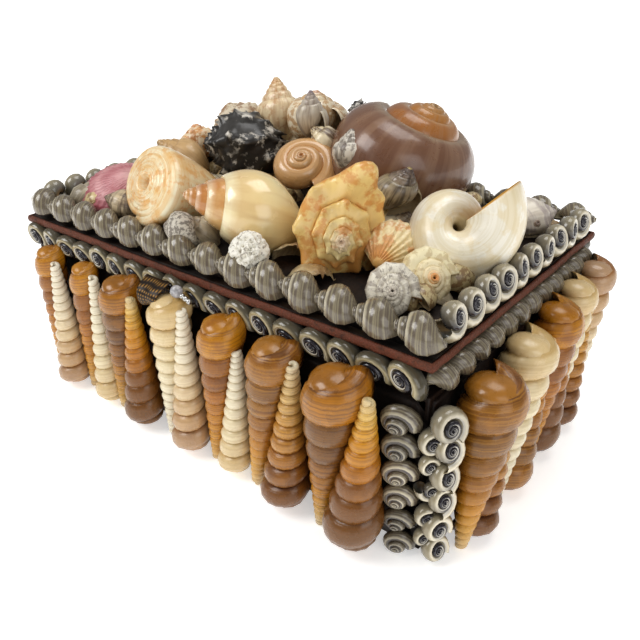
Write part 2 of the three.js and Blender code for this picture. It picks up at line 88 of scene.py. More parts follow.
def add(tree, kind, inputs=None, stops=(), **settings):
    """Adds a node with its settings and inputs. stops are a colour ramp's (position, colour) pairs."""
    node = tree.nodes.new(kind)
    for key, value in settings.items():
        setattr(node, key, value)
    connect(tree, node, inputs or {})
    if stops:
        elements = node.color_ramp.elements
        while len(elements) < len(stops):
            elements.new(0.5)
        for element, (position, _) in zip(elements, stops):
            element.position = position
        for element, (_, colour) in zip(elements, stops):
            element.color = tone(colour)
    return node


def blank_material(name):
    """A new material, and its tree with the Principled shader in it."""
    material = bpy.data.materials.new(name)
    material.use_nodes = True
    return material, material.node_tree, material.node_tree.nodes["Principled BSDF"]


def noise(seed, *fields):
    """Smooth repeatable noise from -1 to 1 over coordinate fields, as a sum of waves."""
    rng = np.random.default_rng(seed)
    total = 0.0
    for _ in range(7):
        phase = rng.uniform(0, TAU)
        for field in fields:
            phase = phase + field * rng.uniform(-1.6, 1.6)
        total = total + np.sin(phase + 1.3 * np.sin(phase * 0.6 + rng.uniform(0, TAU)))
    return total / 3.2


def grid_faces(rows, columns, wrap, offset=0):
    """Quads of a grid of points, closed across its columns where wrap says so."""
    i, j = np.meshgrid(np.arange(rows - 1), np.arange(columns if wrap else columns - 1), indexing="ij")
    k = (j + 1) % columns
    a, b, c, d = i * columns + j, i * columns + k, (i + 1) * columns + k, (i + 1) * columns + j
    return np.stack([a, b, c, d], -1).reshape(-1, 4) + offset


class Form:
    """A mesh in the making: points, quads, each quad corner's UV, each quad's slot and each point's tint."""

    def __init__(self, points, faces, uv=None, slots=None, tint=None):
        self.points = np.asarray(points, float).reshape(-1, 3)
        self.faces = np.asarray(faces, int).reshape(-1, 4)
        self.uv = np.zeros((len(self.faces), 4, 2)) if uv is None else np.asarray(uv, float)
        self.slots = np.zeros(len(self.faces), int) if slots is None else slots
        self.tint = np.full(len(self.points), 0.5) if tint is None else tint

    def at(self, points):
        return Form(points, self.faces, self.uv, self.slots, self.tint)

    def moved(self, matrix):
        m = np.array(matrix)
        return self.at(self.points @ m[:3, :3].T + m[:3, 3])

    def scaled(self, *k):
        return self.at(self.points * np.array(k))

    def in_slot(self, slot):
        return Form(self.points, self.faces, self.uv, np.full(len(self.faces), slot), self.tint)

    def tinted(self, tint):
        return Form(self.points, self.faces, self.uv, self.slots, np.full(len(self.points), float(tint)))


def merged(forms):
    """Several forms as one."""
    counts = np.cumsum([0] + [len(f.points) for f in forms[:-1]])
    return Form(
        np.concatenate([f.points for f in forms]),
        np.concatenate([f.faces + n for f, n in zip(forms, counts)]),
        np.concatenate([f.uv for f in forms]),
        np.concatenate([f.slots for f in forms]),
        np.concatenate([f.tint for f in forms]),
    )


def to_mesh(name, form, weld=2e-6):
    """A Blender mesh from a form, with doubled points merged so that seams and poles are closed."""
    mesh = bpy.data.meshes.new(name)
    mesh.from_pydata(form.points.tolist(), [], form.faces.tolist())
    layer = mesh.uv_layers.new(name="shell")
    layer.data.foreach_set("uv", form.uv.reshape(-1).astype(np.float32))
    mesh.polygons.foreach_set("material_index", form.slots.astype(np.int32))
    mesh.polygons.foreach_set("use_smooth", np.ones(len(form.faces), bool))
    mesh.attributes.new("tint", "FLOAT", "POINT").data.foreach_set("value", form.tint.astype(np.float32))
    work = bmesh.new()
    work.from_mesh(mesh)
    bmesh.ops.remove_doubles(work, verts=work.verts, dist=weld)
    work.to_mesh(mesh)
    work.free()
    mesh.update()
    return mesh


def finish_piece(name, mesh, materials, nodes):
    """Puts a finished mesh in the scene as a piece that stands for the named CAD nodes."""
    piece = bpy.data.objects.new(name, mesh)
    bpy.context.scene.collection.objects.link(piece)
    for material in materials:
        mesh.materials.append(material)
    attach(piece, BODY)
    if nodes:
        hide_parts(*nodes)
    return piece


def pointing(axis, roll=0.0):
    """A turn that carries +Z to axis, after a roll about itself."""
    turn = Vector((0, 0, 1)).rotation_difference(Vector(axis).normalized())
    return (turn @ Quaternion((0, 0, 1), roll)).to_matrix().to_4x4()


def roll_towards(axis, direction, part=0.0):
    """The roll about axis that turns a coil's lip to a direction; with part 0.25, its mouth faces there."""
    local = pointing(axis).inverted() @ Vector(direction)
    return math.atan2(local.y, local.x) + part * TAU


def fitted(form, node, axis, roll=0.0, give=0.12, full=1.05):
    """The form turned to its axis, scaled to the node's box and centred on it. Each side may stretch by give."""
    low, high = (np.array(corner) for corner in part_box(node))
    turned = form.moved(pointing(axis, roll))
    least, most = turned.points.min(0), turned.points.max(0)
    ratios = (high - low) / (most - least)
    middle = float(np.exp(np.log(ratios).mean()))
    k = np.clip(ratios, middle * (1 - give), middle * (1 + give)) * full
    centred = Matrix.Translation(-(least + most) / 2)
    return turned.moved(Matrix.Translation((low + high) / 2) @ Matrix.Diagonal((*k, 1)) @ centred)


# ---- coiled shells ----------------------------------------------------------------------------
def smooth_loop(points, count):
    """count points round the closed smooth curve through the given ones."""
    p = np.asarray(points, float)
    t = np.arange(count) / count * len(p)
    i = t.astype(int)
    f = (t - i)[:, None]
    a, b, c, d = (p[(i + k) % len(p)] for k in (-1, 0, 1, 2))
    bend = (c - a) * f + (2 * a - 5 * b + 4 * c - d) * f**2 + (3 * b - a - 3 * c + d) * f**3
    return b + bend / 2


def quad_uv(u, columns):
    """Corner UVs of a wrapped grid: u for each row, and the share round the row."""
    i, j = np.meshgrid(np.arange(len(u) - 1), np.arange(columns), indexing="ij")
    near, far = u[i], u[i + 1]
    left, right = j / columns, (j + 1) / columns
    return np.stack([near, left, near, right, far, right, far, left], -1).reshape(-1, 4, 2)


def outward(form):
    """The form with its faces turned outward."""
    a, b, c, d = (form.points[form.faces[:, k]] for k in range(4))
    volume = (np.cross(b - a, c - a) * a).sum() + (np.cross(c - a, d - a) * a).sum()
    if volume < 0:
        return Form(form.points, form.faces[:, ::-1], form.uv[:, ::-1], form.slots, form.tint)
    return form


def coil(section, turns, growth, steps=40, sides=28, wall=0.12, recess=0.3, slant=0.0, relief=None):
    """A coiled shell with its apex at the origin and its whorls below, right-handed, its mouth at +X facing -Y.

    section is the mouth's outline as (distance from the axis, height) pairs in largest radii: from the suture
    over the shoulder to the base and back up the axis. Each whorl is the last one shrunk by growth.
    relief(turn, across) swells the wall. The UV is (whorls from the apex, share round the section), and what
    lies inside the mouth has its first number above turns.
    """
    outline = smooth_loop(section, sides)
    middle = outline.mean(0)
    outer = np.linspace(0, turns, int(turns * steps) + 1)
    inner = np.linspace(0, 1, max(4, int(recess * steps)))
    turn = np.concatenate([outer, [turns + 0.008], turns - recess * inner])
    bore = 1 - wall * np.minimum(1, 0.5 + inner * 3)
    bore[-1] = 0
    opening = np.sqrt(np.clip(outer / 0.3, 0, 1))
    swell = np.concatenate([opening, [1 - wall * 0.25], bore])
    across = np.arange(sides) / sides
    plump = np.ones((len(turn), sides))
    if relief is not None:
        rise = relief(turn[:, None], across[None, :]) + 0 * plump
        fade = np.concatenate([np.ones(len(outer) + 1), 1 - np.clip(inner * 4, 0, 1)])
        plump += rise * fade[:, None]
    local = middle + (outline - middle) * (swell[:, None] * plump)[..., None]
    size = growth ** (turn - turns)
    lean = slant * (outline[:, 1] - middle[1]) * np.clip((turn[:, None] - turns) * 3 + 1, 0, 1)
    angle = -TAU * (turn[:, None] - turns + lean)
    r, z = local[..., 0] * size[:, None], local[..., 1] * size[:, None]
    points = np.stack([r * np.cos(angle), r * np.sin(angle), z], -1)
    u = np.concatenate([outer, [turns + 0.05], turns + 0.1 + inner])
    return outward(Form(points, grid_faces(len(turn), sides, True), quad_uv(u, sides)))


def rib_relief(ribs, depth, cords=0, cord_depth=0.0, sharp=2.0, top=0.08, bottom=0.62):
    """Ribs across the whorls and cords along them, on the outer side of the section."""

    def relief(turn, across):
        window = np.clip((across - top) * 12, 0, 1) * np.clip((bottom - across) * 8, 0, 1)
        rib = (0.5 + 0.5 * np.cos(TAU * ribs * turn)) ** sharp
        cord = 0.5 + 0.5 * np.cos(TAU * cords * across)
        return window * (depth * rib * (0.35 + 0.65 * cord if cords else 1) + cord_depth * cord)

    return relief


def knob_relief(knobs, depth, at=0.2, width=0.06, extra=(), seed=1):
    """A row of blunt knobs round the shoulder, with further smaller rows in extra as (at, depth) pairs."""

    def relief(turn, across):
        beat = (0.5 + 0.5 * np.cos(TAU * knobs * turn)) ** 2.5
        uneven = 1 + 0.25 * np.sin(turn * 9.1 + seed)
        total = depth * uneven * beat * np.exp(-(((across - at) / width) ** 2))
        for spot, height in extra:
            total = total + height * beat * np.exp(-(((across - spot) / (width * 0.7)) ** 2))
        return total

    return relief


def rough_relief(depth, seed, ribs=0, rib_depth=0.0, grain=9.0):
    """A lumpy, worn or crusted surface."""
    ribbed = rib_relief(ribs, rib_depth, cords=9, cord_depth=rib_depth * 0.5) if ribs else None

    def relief(turn, across):
        round_it = TAU * across
        lump = noise(seed, turn * grain * 1.3, np.sin(round_it) * grain * 0.4, np.cos(round_it) * grain * 0.4)
        return depth * lump + (ribbed(turn, across) if ribbed else 0)

    return relief


# Mouth outlines, in largest radii, as (distance from the axis, height).
ROUND_MOUTH = [(0.52, -0.3), (0.76, -0.34), (0.95, -0.55), (1.0, -0.85), (0.9, -1.18), (0.66, -1.42),
               (0.38, -1.48), (0.14, -1.3), (0.1, -0.95), (0.24, -0.55)]
TALL_MOUTH = [(0.5, -0.92), (0.7, -0.9), (0.9, -1.1), (1.0, -1.42), (0.97, -1.75), (0.8, -2.15), (0.52, -2.5),
              (0.25, -2.7), (0.1, -2.62), (0.08, -2.1), (0.18, -1.5), (0.34, -1.1)]
STEPPED_MOUTH = [(0.5, -0.99), (0.64, -0.93), (0.76, -1.03), (0.93, -1.35), (1.0, -1.7), (0.93, -2.1),
                 (0.66, -2.5), (0.34, -2.76), (0.13, -2.7), (0.1, -2.2), (0.2, -1.6), (0.34, -1.2)]
EYE_MOUTH = [(0.58, -0.2), (0.68, -0.12), (0.84, -0.16), (0.97, -0.36), (1.0, -0.66), (0.9, -0.98),
             (0.66, -1.2), (0.36, -1.28), (0.12, -1.15), (0.08, -0.75), (0.26, -0.42), (0.46, -0.28)]
CONE_MOUTH = [(0.73, -0.19), (0.84, -0.16), (0.96, -0.2), (1.0, -0.34), (0.93, -0.75), (0.77, -1.25),
              (0.56, -1.75), (0.33, -2.25), (0.14, -2.55), (0.05, -2.5), (0.06, -1.8), (0.26, -1.1),
              (0.5, -0.55), (0.64, -0.32)]
CONCH_MOUTH = [(0.62, -0.47), (0.78, -0.47), (0.93, -0.55), (1.0, -0.68), (0.94, -0.9), (0.72, -1.3),
               (0.46, -1.75), (0.22, -2.1), (0.09, -2.05), (0.1, -1.5), (0.26, -0.95), (0.46, -0.62)]
OPEN_MOUTH = [(0.5, -0.5), (0.74, -0.42), (0.94, -0.58), (1.0, -0.9), (0.92, -1.25), (0.72, -1.5), (0.5, -1.56),
              (0.3, -1.45), (0.22, -1.15), (0.3, -0.78)]


def turret_tree():
    """A tall shell that winds up evenly: every ring of its tube lies on a widening spiral."""
    tree = bpy.data.node_groups.new("Turret shell", "GeometryNodeTree")
    for name, kind, default in (
        ("Length", "NodeSocketFloat", 0.09),
        ("Radius", "NodeSocketFloat", 0.011),
        ("Tip share", "NodeSocketFloat", 0.22),
        ("Whorls", "NodeSocketFloat", 11.0),
        ("Whorl height", "NodeSocketFloat", 0.57),
        ("Cord depth", "NodeSocketFloat", 0.012),
        ("Slant", "NodeSocketFloat", 0.5),
        ("Wall", "NodeSocketFloat", 0.16),
        ("Rings", "NodeSocketInt", 240),
        ("Sides", "NodeSocketInt", 20),
    ):
        tree.interface.new_socket(name, in_out="INPUT", socket_type=kind).default_value = default
    tree.interface.new_socket("Material", in_out="INPUT", socket_type="NodeSocketMaterial")
    tree.interface.new_socket("Shell", in_out="OUTPUT", socket_type="NodeSocketGeometry")
    given = add(tree, "NodeGroupInput").outputs
    fold = 0.94  # rows up to here lie outside, the rest inside the mouth

    rows = add(tree, "ShaderNodeMath", {0: given["Sides"], 1: 1.0}, operation="ADD")
    grid = add(tree, "GeometryNodeMeshGrid", {0: 1.0, 1: 1.0, 2: given["Rings"], 3: rows})
    flat = add(tree, "ShaderNodeSeparateXYZ", {0: add(tree, "GeometryNodeInputPosition")})
    u = add(tree, "ShaderNodeMath", {0: flat.outputs[0], 1: 0.5}, operation="ADD")
    v = add(tree, "ShaderNodeMath", {0: flat.outputs[1], 1: 0.5}, operation="ADD")
    outside = add(tree, "ShaderNodeMapRange", {0: u, 1: 0.0, 2: fold, 3: 0.0, 4: 1.0})
    inside = add(tree, "ShaderNodeMapRange", {0: u, 1: fold, 2: 1.0, 3: 0.0, 4: 1.0})
    back = add(tree, "ShaderNodeMath", {0: -0.45, 1: given["Whorls"]}, operation="DIVIDE")
    along = add(tree, "ShaderNodeMath", {0: inside, 1: back, 2: outside}, operation="MULTIPLY_ADD")
    left = add(tree, "ShaderNodeMath", {0: 1.0, 1: along}, operation="SUBTRACT")
    size = add(tree, "ShaderNodeMath", {0: given["Tip share"], 1: left}, operation="POWER")

    # how full the tube is: rounded off at the tip, thinner by the wall inside the mouth, closed at its end
    start = add(tree, "ShaderNodeMapRange", {0: outside, 1: 0.0, 2: 0.025, 3: 0.0, 4: 1.0})
    start = add(tree, "ShaderNodeMath", {0: start, 1: 0.5}, operation="POWER")
    bore = add(tree, "ShaderNodeMath", {0: 1.0, 1: given["Wall"]}, operation="SUBTRACT")
    lip = add(tree, "ShaderNodeMapRange", {0: inside, 1: 0.0, 2: 0.2, 3: 1.0, 4: bore})
    end = add(tree, "ShaderNodeMapRange", {0: inside, 1: 0.85, 2: 1.0, 3: 1.0, 4: 0.03})
    full = add(tree, "ShaderNodeMath", {0: start, 1: lip}, operation="MULTIPLY")
    full = add(tree, "ShaderNodeMath", {0: full, 1: end}, operation="MULTIPLY")

    # round the tube, from the suture over the whorl
    turn = add(tree, "ShaderNodeMath", {0: v, 1: -TAU, 2: 0.4 * TAU}, operation="MULTIPLY_ADD")
    cosine = add(tree, "ShaderNodeMath", {0: turn}, operation="COSINE")
    sine = add(tree, "ShaderNodeMath", {0: turn}, operation="SINE")
    beat = add(tree, "ShaderNodeMath", {0: turn, 1: 12.0}, operation="MULTIPLY")
    cord = add(tree, "ShaderNodeMath", {0: add(tree, "ShaderNodeMath", {0: beat}, operation="COSINE"),
                                        1: given["Cord depth"], 2: 1.0}, operation="MULTIPLY_ADD")
    full = add(tree, "ShaderNodeMath", {0: full, 1: cord}, operation="MULTIPLY")
    across = add(tree, "ShaderNodeMath", {0: full, 1: cosine}, operation="MULTIPLY")
    reach = add(tree, "ShaderNodeMath", {0: across, 1: 0.5, 2: 0.5}, operation="MULTIPLY_ADD")
    radius = add(tree, "ShaderNodeMath", {0: given["Radius"], 1: size}, operation="MULTIPLY")
    reach = add(tree, "ShaderNodeMath", {0: reach, 1: radius}, operation="MULTIPLY")

    # height: the whorls share the length in proportion to their size
    rest = add(tree, "ShaderNodeMath", {0: 1.0, 1: given["Tip share"]}, operation="SUBTRACT")
    slope = add(tree, "ShaderNodeMath", {0: given["Length"], 1: rest}, operation="DIVIDE")
    one = add(tree, "ShaderNodeMath", {0: 1.0, 1: given["Whorls"]}, operation="DIVIDE")
    shrink = add(tree, "ShaderNodeMath", {0: given["Tip share"], 1: one}, operation="POWER")
    pitch = add(tree, "ShaderNodeMath", {0: 1.0, 1: shrink}, operation="SUBTRACT")
    pitch = add(tree, "ShaderNodeMath", {0: pitch, 1: given["Whorl height"]}, operation="MULTIPLY")
    rise = add(tree, "ShaderNodeMath", {0: full, 1: sine}, operation="MULTIPLY")
    rise = add(tree, "ShaderNodeMath", {0: rise, 1: pitch, 2: -1.0}, operation="MULTIPLY_ADD")
    rise = add(tree, "ShaderNodeMath", {0: rise, 1: size}, operation="MULTIPLY")
    height = add(tree, "ShaderNodeMath", {0: rise, 1: slope}, operation="MULTIPLY")

    # the spiral, with the mouth cut on a slant
    near = add(tree, "ShaderNodeMapRange", {0: outside, 1: 0.93, 2: 1.0, 3: 0.0, 4: given["Slant"]})
    tilt = add(tree, "ShaderNodeMath", {0: sine, 1: near}, operation="MULTIPLY")
    winding = add(tree, "ShaderNodeMath", {0: given["Whorls"], 1: -TAU}, operation="MULTIPLY")
    angle = add(tree, "ShaderNodeMath", {0: along, 1: winding, 2: tilt}, operation="MULTIPLY_ADD")
    x = add(tree, "ShaderNodeMath", {0: reach, 1: add(tree, "ShaderNodeMath", {0: angle}, operation="COSINE")},
            operation="MULTIPLY")
    y = add(tree, "ShaderNodeMath", {0: reach, 1: add(tree, "ShaderNodeMath", {0: angle}, operation="SINE")},
            operation="MULTIPLY")
    place = add(tree, "ShaderNodeCombineXYZ", {0: x, 1: y, 2: height})

    beyond = add(tree, "ShaderNodeMath", {0: outside, 1: inside}, operation="ADD")
    chart = add(tree, "ShaderNodeCombineXYZ", {0: beyond, 1: v})
    mapped = add(tree, "GeometryNodeStoreNamedAttribute", {"Geometry": grid, "Name": "shell", "Value": chart},
                 data_type="FLOAT2", domain="CORNER")
    wound = add(tree, "GeometryNodeSetPosition", {"Geometry": mapped, "Position": place})
    whole = add(tree, "GeometryNodeRealizeInstances", {0: wound})
    dressed = add(tree, "GeometryNodeSetMaterial", {"Geometry": whole, "Material": given["Material"]})
    add(tree, "NodeGroupOutput", {0: dressed})
    return tree


def course_tree():
    """A row of small shells between two points, each a little different."""
    tree = bpy.data.node_groups.new("Shell course", "GeometryNodeTree")
    for name, kind, default in (
        ("Start", "NodeSocketVector", (0, 0, 0)),
        ("End", "NodeSocketVector", (0.1, 0, 0)),
        ("Turn", "NodeSocketVector", (0, 0, 0)),
        ("Unevenness", "NodeSocketVector", (0.1, 0.1, 0.1)),
        ("Size", "NodeSocketFloat", 0.007),
        ("Size spread", "NodeSocketFloat", 0.05),
        ("Count", "NodeSocketInt", 10),
        ("Seed", "NodeSocketInt", 1),
    ):
        tree.interface.new_socket(name, in_out="INPUT", socket_type=kind).default_value = default
    tree.interface.new_socket("Shell", in_out="INPUT", socket_type="NodeSocketObject")
    tree.interface.new_socket("Material", in_out="INPUT", socket_type="NodeSocketMaterial")
    tree.interface.new_socket("Course", in_out="OUTPUT", socket_type="NodeSocketGeometry")
    given = add(tree, "NodeGroupInput").outputs
    line = add(tree, "GeometryNodeMeshLine", {"Count": given["Count"], "Start Location": given["Start"],
                                              "Offset": given["End"]}, mode="END_POINTS")
    shell = add(tree, "GeometryNodeObjectInfo", {"Object": given["Shell"]})
    spread = add(tree, "FunctionNodeRandomValue", {0: (-1, -1, -1), 1: (1, 1, 1), "Seed": given["Seed"]},
                 data_type="FLOAT_VECTOR")
    swing = add(tree, "ShaderNodeVectorMath", {0: spread.outputs[0], 1: given["Unevenness"], 2: given["Turn"]},
                operation="MULTIPLY_ADD")
    turn = add(tree, "FunctionNodeEulerToRotation", {0: swing})
    least = add(tree, "ShaderNodeMath", {0: 1.0, 1: given["Size spread"]}, operation="SUBTRACT")
    chance = add(tree, "FunctionNodeRandomValue", {2: least, 3: 1.0, "Seed": given["Seed"]}, data_type="FLOAT")
    size = add(tree, "ShaderNodeMath", {0: chance.outputs[1], 1: given["Size"]}, operation="MULTIPLY")
    row = add(tree, "GeometryNodeInstanceOnPoints", {"Points": line, "Instance": shell.outputs["Geometry"],
                                                     "Rotation": turn, "Scale": size})
    tint = add(tree, "FunctionNodeRandomValue", {2: 0.0, 3: 1.0, "Seed": given["Seed"]}, data_type="FLOAT")
    marked = add(tree, "GeometryNodeStoreNamedAttribute", {"Geometry": row, "Name": "tint",
                                                           "Value": tint.outputs[1]},
                 data_type="FLOAT", domain="INSTANCE")
    whole = add(tree, "GeometryNodeRealizeInstances", {0: marked})
    dressed = add(tree, "GeometryNodeSetMaterial", {"Geometry": whole, "Material": given["Material"]})
    add(tree, "NodeGroupOutput", {0: dressed})
    return tree


def grown(tree, values):
    """What a tree makes with these input values, as a plain mesh."""
    holder = bpy.data.objects.new("holder", bpy.data.meshes.new("holder"))
    bpy.context.scene.collection.objects.link(holder)
    modifier = holder.modifiers.new("nodes", "NODES")
    modifier.node_group = tree
    identifiers = {item.name: item.identifier for item in tree.interface.items_tree if item.in_out == "INPUT"}
    for name, value in values.items():
        modifier[identifiers[name]] = value
    holder.update_tag()
    graph = bpy.context.evaluated_depsgraph_get()
    mesh = bpy.data.meshes.new_from_object(holder.evaluated_get(graph), depsgraph=graph)
    bpy.data.objects.remove(holder)
    return mesh


def form_of(mesh):
    """A grown mesh as a form, with each point's tint where it has one."""
    points = np.zeros(len(mesh.vertices) * 3)
    mesh.vertices.foreach_get("co", points)
    faces = np.zeros(len(mesh.loops), int)
    mesh.loops.foreach_get("vertex_index", faces)
    uv = np.zeros(len(mesh.loops) * 2)
    mesh.attributes["shell"].data.foreach_get("vector", uv)
    tint = np.full(len(mesh.vertices), 0.5)
    if "tint" in mesh.attributes:
        mesh.attributes["tint"].data.foreach_get("value", tint)
    bpy.data.meshes.remove(mesh)
    return Form(points, faces.reshape(-1, 4), uv.reshape(-1, 4, 2), tint=tint)


# ---- materials --------------------------------------------------------------------------------
def shell_material(name, turns, along, across=None, blotches=None, growth=None, lines=None, mouth="#e8d5b0",
                   rough=0.3, bump=0.25, coat=0.25, shade=0.0, kin=None):
    """Natural shell: the colours run with the whorls, because the animal lays them down at the lip.

    along: colour stops from the apex (0) to the lip (1). across: (strength, stops from the suture over the
    whorl to the base). blotches: (colour, size in mm, share covered, strength). growth: (colour, lines per
    whorl, strength), across the whorls. lines: (colour, lines round the section, changes per whorl, strength),
    along the whorls. bump: relief in mm. shade: how far the shells of a course differ in lightness, and kin:
    (colour, strength), the tone that some of them take.
    """
    material, tree, shader = blank_material(name)
    chart = add(tree, "ShaderNodeUVMap", uv_map="shell")
    parts = add(tree, "ShaderNodeSeparateXYZ", {0: chart})
    u, v = parts.outputs[0], parts.outputs[1]
    metres = add(tree, "ShaderNodeTexCoord").outputs["Object"]
    cloud = add(tree, "ShaderNodeTexNoise", {"Vector": metres, "Scale": 1 / (7 * MM), "Detail": 3.0})
    drift = add(tree, "ShaderNodeMath", {0: cloud, 1: 0.16, 2: -0.08}, operation="MULTIPLY_ADD")
    share = add(tree, "ShaderNodeMath", {0: u, 1: turns}, operation="DIVIDE")
    share = add(tree, "ShaderNodeMath", {0: share, 1: drift}, operation="ADD")
    colour = add(tree, "ShaderNodeValToRGB", {0: share}, along)
    tint = add(tree, "ShaderNodeAttribute", attribute_name="tint").outputs["Fac"]
    if kin:
        odd = add(tree, "ShaderNodeMapRange", {0: tint, 1: 0.55, 2: 0.9, 3: 0.0, 4: kin[1]})
        colour = add(tree, "ShaderNodeMix", {0: odd, 6: colour, 7: tone(kin[0])}, data_type="RGBA")
    if across:
        band = add(tree, "ShaderNodeMath", {0: drift, 1: 0.35, 2: v}, operation="MULTIPLY_ADD")
        skirt = add(tree, "ShaderNodeValToRGB", {0: band}, across[1])
        colour = add(tree, "ShaderNodeMix", {0: across[0], 6: colour, 7: skirt}, data_type="RGBA")
    height = cloud
    streaks = ((growth, growth and (growth[1], 1.2, 0.0)), (lines, lines and (lines[2], lines[1], 0.0)))
    for given, grain in streaks:
        if given:
            spread = add(tree, "ShaderNodeVectorMath", {0: chart, 1: grain}, operation="MULTIPLY")
            streak = add(tree, "ShaderNodeTexNoise", {"Vector": spread, "Scale": 1.0, "Detail": 3.0,
                                                      "Roughness": 0.7})
            edge = add(tree, "ShaderNodeMapRange", {0: streak, 1: 0.46, 2: 0.6, 3: 0.0, 4: given[-1]})
            colour = add(tree, "ShaderNodeMix", {0: edge, 6: colour, 7: tone(given[0])}, data_type="RGBA")
            height = add(tree, "ShaderNodeMath", {0: height, 1: streak}, operation="ADD")
    if blotches:
        code, size, covered, strength = blotches
        spots = add(tree, "ShaderNodeTexNoise", {"Vector": metres, "Scale": 1 / (size * MM), "Detail": 4.0,
                                                 "Roughness": 0.6})
        edge = add(tree, "ShaderNodeMapRange", {0: spots, 1: 0.62 - covered * 0.3, 2: 0.7 - covered * 0.3,
                                                3: 0.0, 4: strength})
        colour = add(tree, "ShaderNodeMix", {0: edge, 6: colour, 7: tone(code)}, data_type="RGBA")
    if shade:
        light = add(tree, "ShaderNodeMapRange", {0: tint, 1: 0.0, 2: 1.0, 3: 1 - shade, 4: 1 + shade * 0.6})
        colour = add(tree, "ShaderNodeVectorMath", {0: colour, "Scale": light}, operation="SCALE")
    bore = add(tree, "ShaderNodeMapRange", {0: u, 1: turns + 0.005, 2: turns + 0.06, 3: 0.0, 4: 1.0})
    colour = add(tree, "ShaderNodeMix", {0: bore, 6: colour, 7: tone(mouth)}, data_type="RGBA")
    worn = add(tree, "ShaderNodeMapRange", {0: cloud, 1: 0.3, 2: 0.7, 3: rough - 0.06, 4: rough + 0.12})
    relief = add(tree, "ShaderNodeBump", {"Height": height, "Strength": 0.6, "Distance": bump * MM})
    connect(tree, shader, {"Base Color": colour, "Roughness": worn, "Normal": relief, "IOR": 1.53,
                           "Coat Weight": coat, "Coat Roughness": 0.12})
    return material


# Turret shells, from the tip to the mouth: the kinds that recur round the box.
TURRET_KINDS = {
    "amber": dict(
        along=[(0, "#eeddb0"), (0.25, "#e0ac4a"), (0.5, "#cc8c1c"), (0.74, "#a8661a"), (0.84, "#774314"),
               (0.93, "#9c6016"), (1, "#cc8e1c")],
        lines=("#6a3a14", 46, 9, 0.55), mouth="#d9a75c"),
    "umber": dict(
        along=[(0, "#f0e1ba"), (0.3, "#dfaf55"), (0.5, "#c88a24"), (0.68, "#8c561c"), (0.84, "#523018"),
               (0.93, "#553016"), (1, "#8e5a1c")],
        lines=("#c08a38", 46, 9, 0.5), mouth="#e6cfa2"),
    "pearl": dict(
        along=[(0, "#f3eddb"), (0.5, "#efe5cb"), (0.72, "#e2cba0"), (0.86, "#b98a50"), (1, "#935e34")],
        lines=("#a8875c", 30, 8, 0.25), mouth="#efe3c8"),
    "ivory": dict(
        along=[(0, "#f4eeda"), (0.55, "#efe6ca"), (0.8, "#e7d7ae"), (1, "#d2b070")],
        lines=("#b0905c", 30, 8, 0.25), mouth="#efe0b4"),
    "honey": dict(
        along=[(0, "#f2e4b8"), (0.25, "#e9c262"), (0.45, "#d8981e"), (0.66, "#b5731a"), (0.78, "#63381c"),
               (1, "#452820")],
        lines=("#7c4c1c", 42, 9, 0.5), mouth="#e0c28a"),
    "mauve": dict(
        along=[(0, "#f0e2bc"), (0.25, "#dfb458"), (0.48, "#c88c24"), (0.64, "#96601e"), (0.8, "#5c3a20"),
               (0.89, "#64401c"), (1, "#b4761a")],
        lines=("#4a2a18", 46, 9, 0.55), mouth="#e8d2a4"),
    "tan": dict(
        along=[(0, "#f1e6c6"), (0.35, "#e3c687"), (0.6, "#cf9c4c"), (0.82, "#a26c30"), (0.9, "#6c4226"),
               (1, "#563224")],
        lines=("#6a4020", 40, 9, 0.4), mouth="#e6d2a8"),
}


def turret_material(kind):
    """Turret shell: hard and glossy, with fine threads that run with the whorls and darker sutures."""
    pale = kind in ("pearl", "ivory")
    glow, seam = ("#f0e6cc", "#8a6a40") if pale else ("#bd8630", "#3a200e")
    seams = (0.24, [(0.2, seam), (0.26, glow), (0.5, glow), (0.55, seam)])
    return shell_material("turret_shell_" + kind, 1.0, across=seams, rough=0.24, bump=0.4, coat=0.18,
                          **TURRET_KINDS[kind])


def periwinkle_material(name, body, spire, kin=("#4d382c", 0.75)):
    """Periwinkle shell: polished, with fine growth streaks, a pale line at its shoulder and a dark spire."""
    return shell_material(
        name, 3.6,
        along=[(0, "#15141a"), (0.3, spire), (0.62, spire), (0.74, body), (1, body)],
        across=(0.7, [(0.0, spire), (0.13, spire), (0.15, "#e2d8c0"), (0.18, "#e2d8c0"), (0.22, body),
                      (0.6, body), (0.75, "#d8cfb4")]),
        lines=("#b3aa8a", 30, 1.2, 0.5), mouth="#3a2c24", rough=0.22, bump=0.12, coat=0.5, shade=0.35, kin=kin,
    )


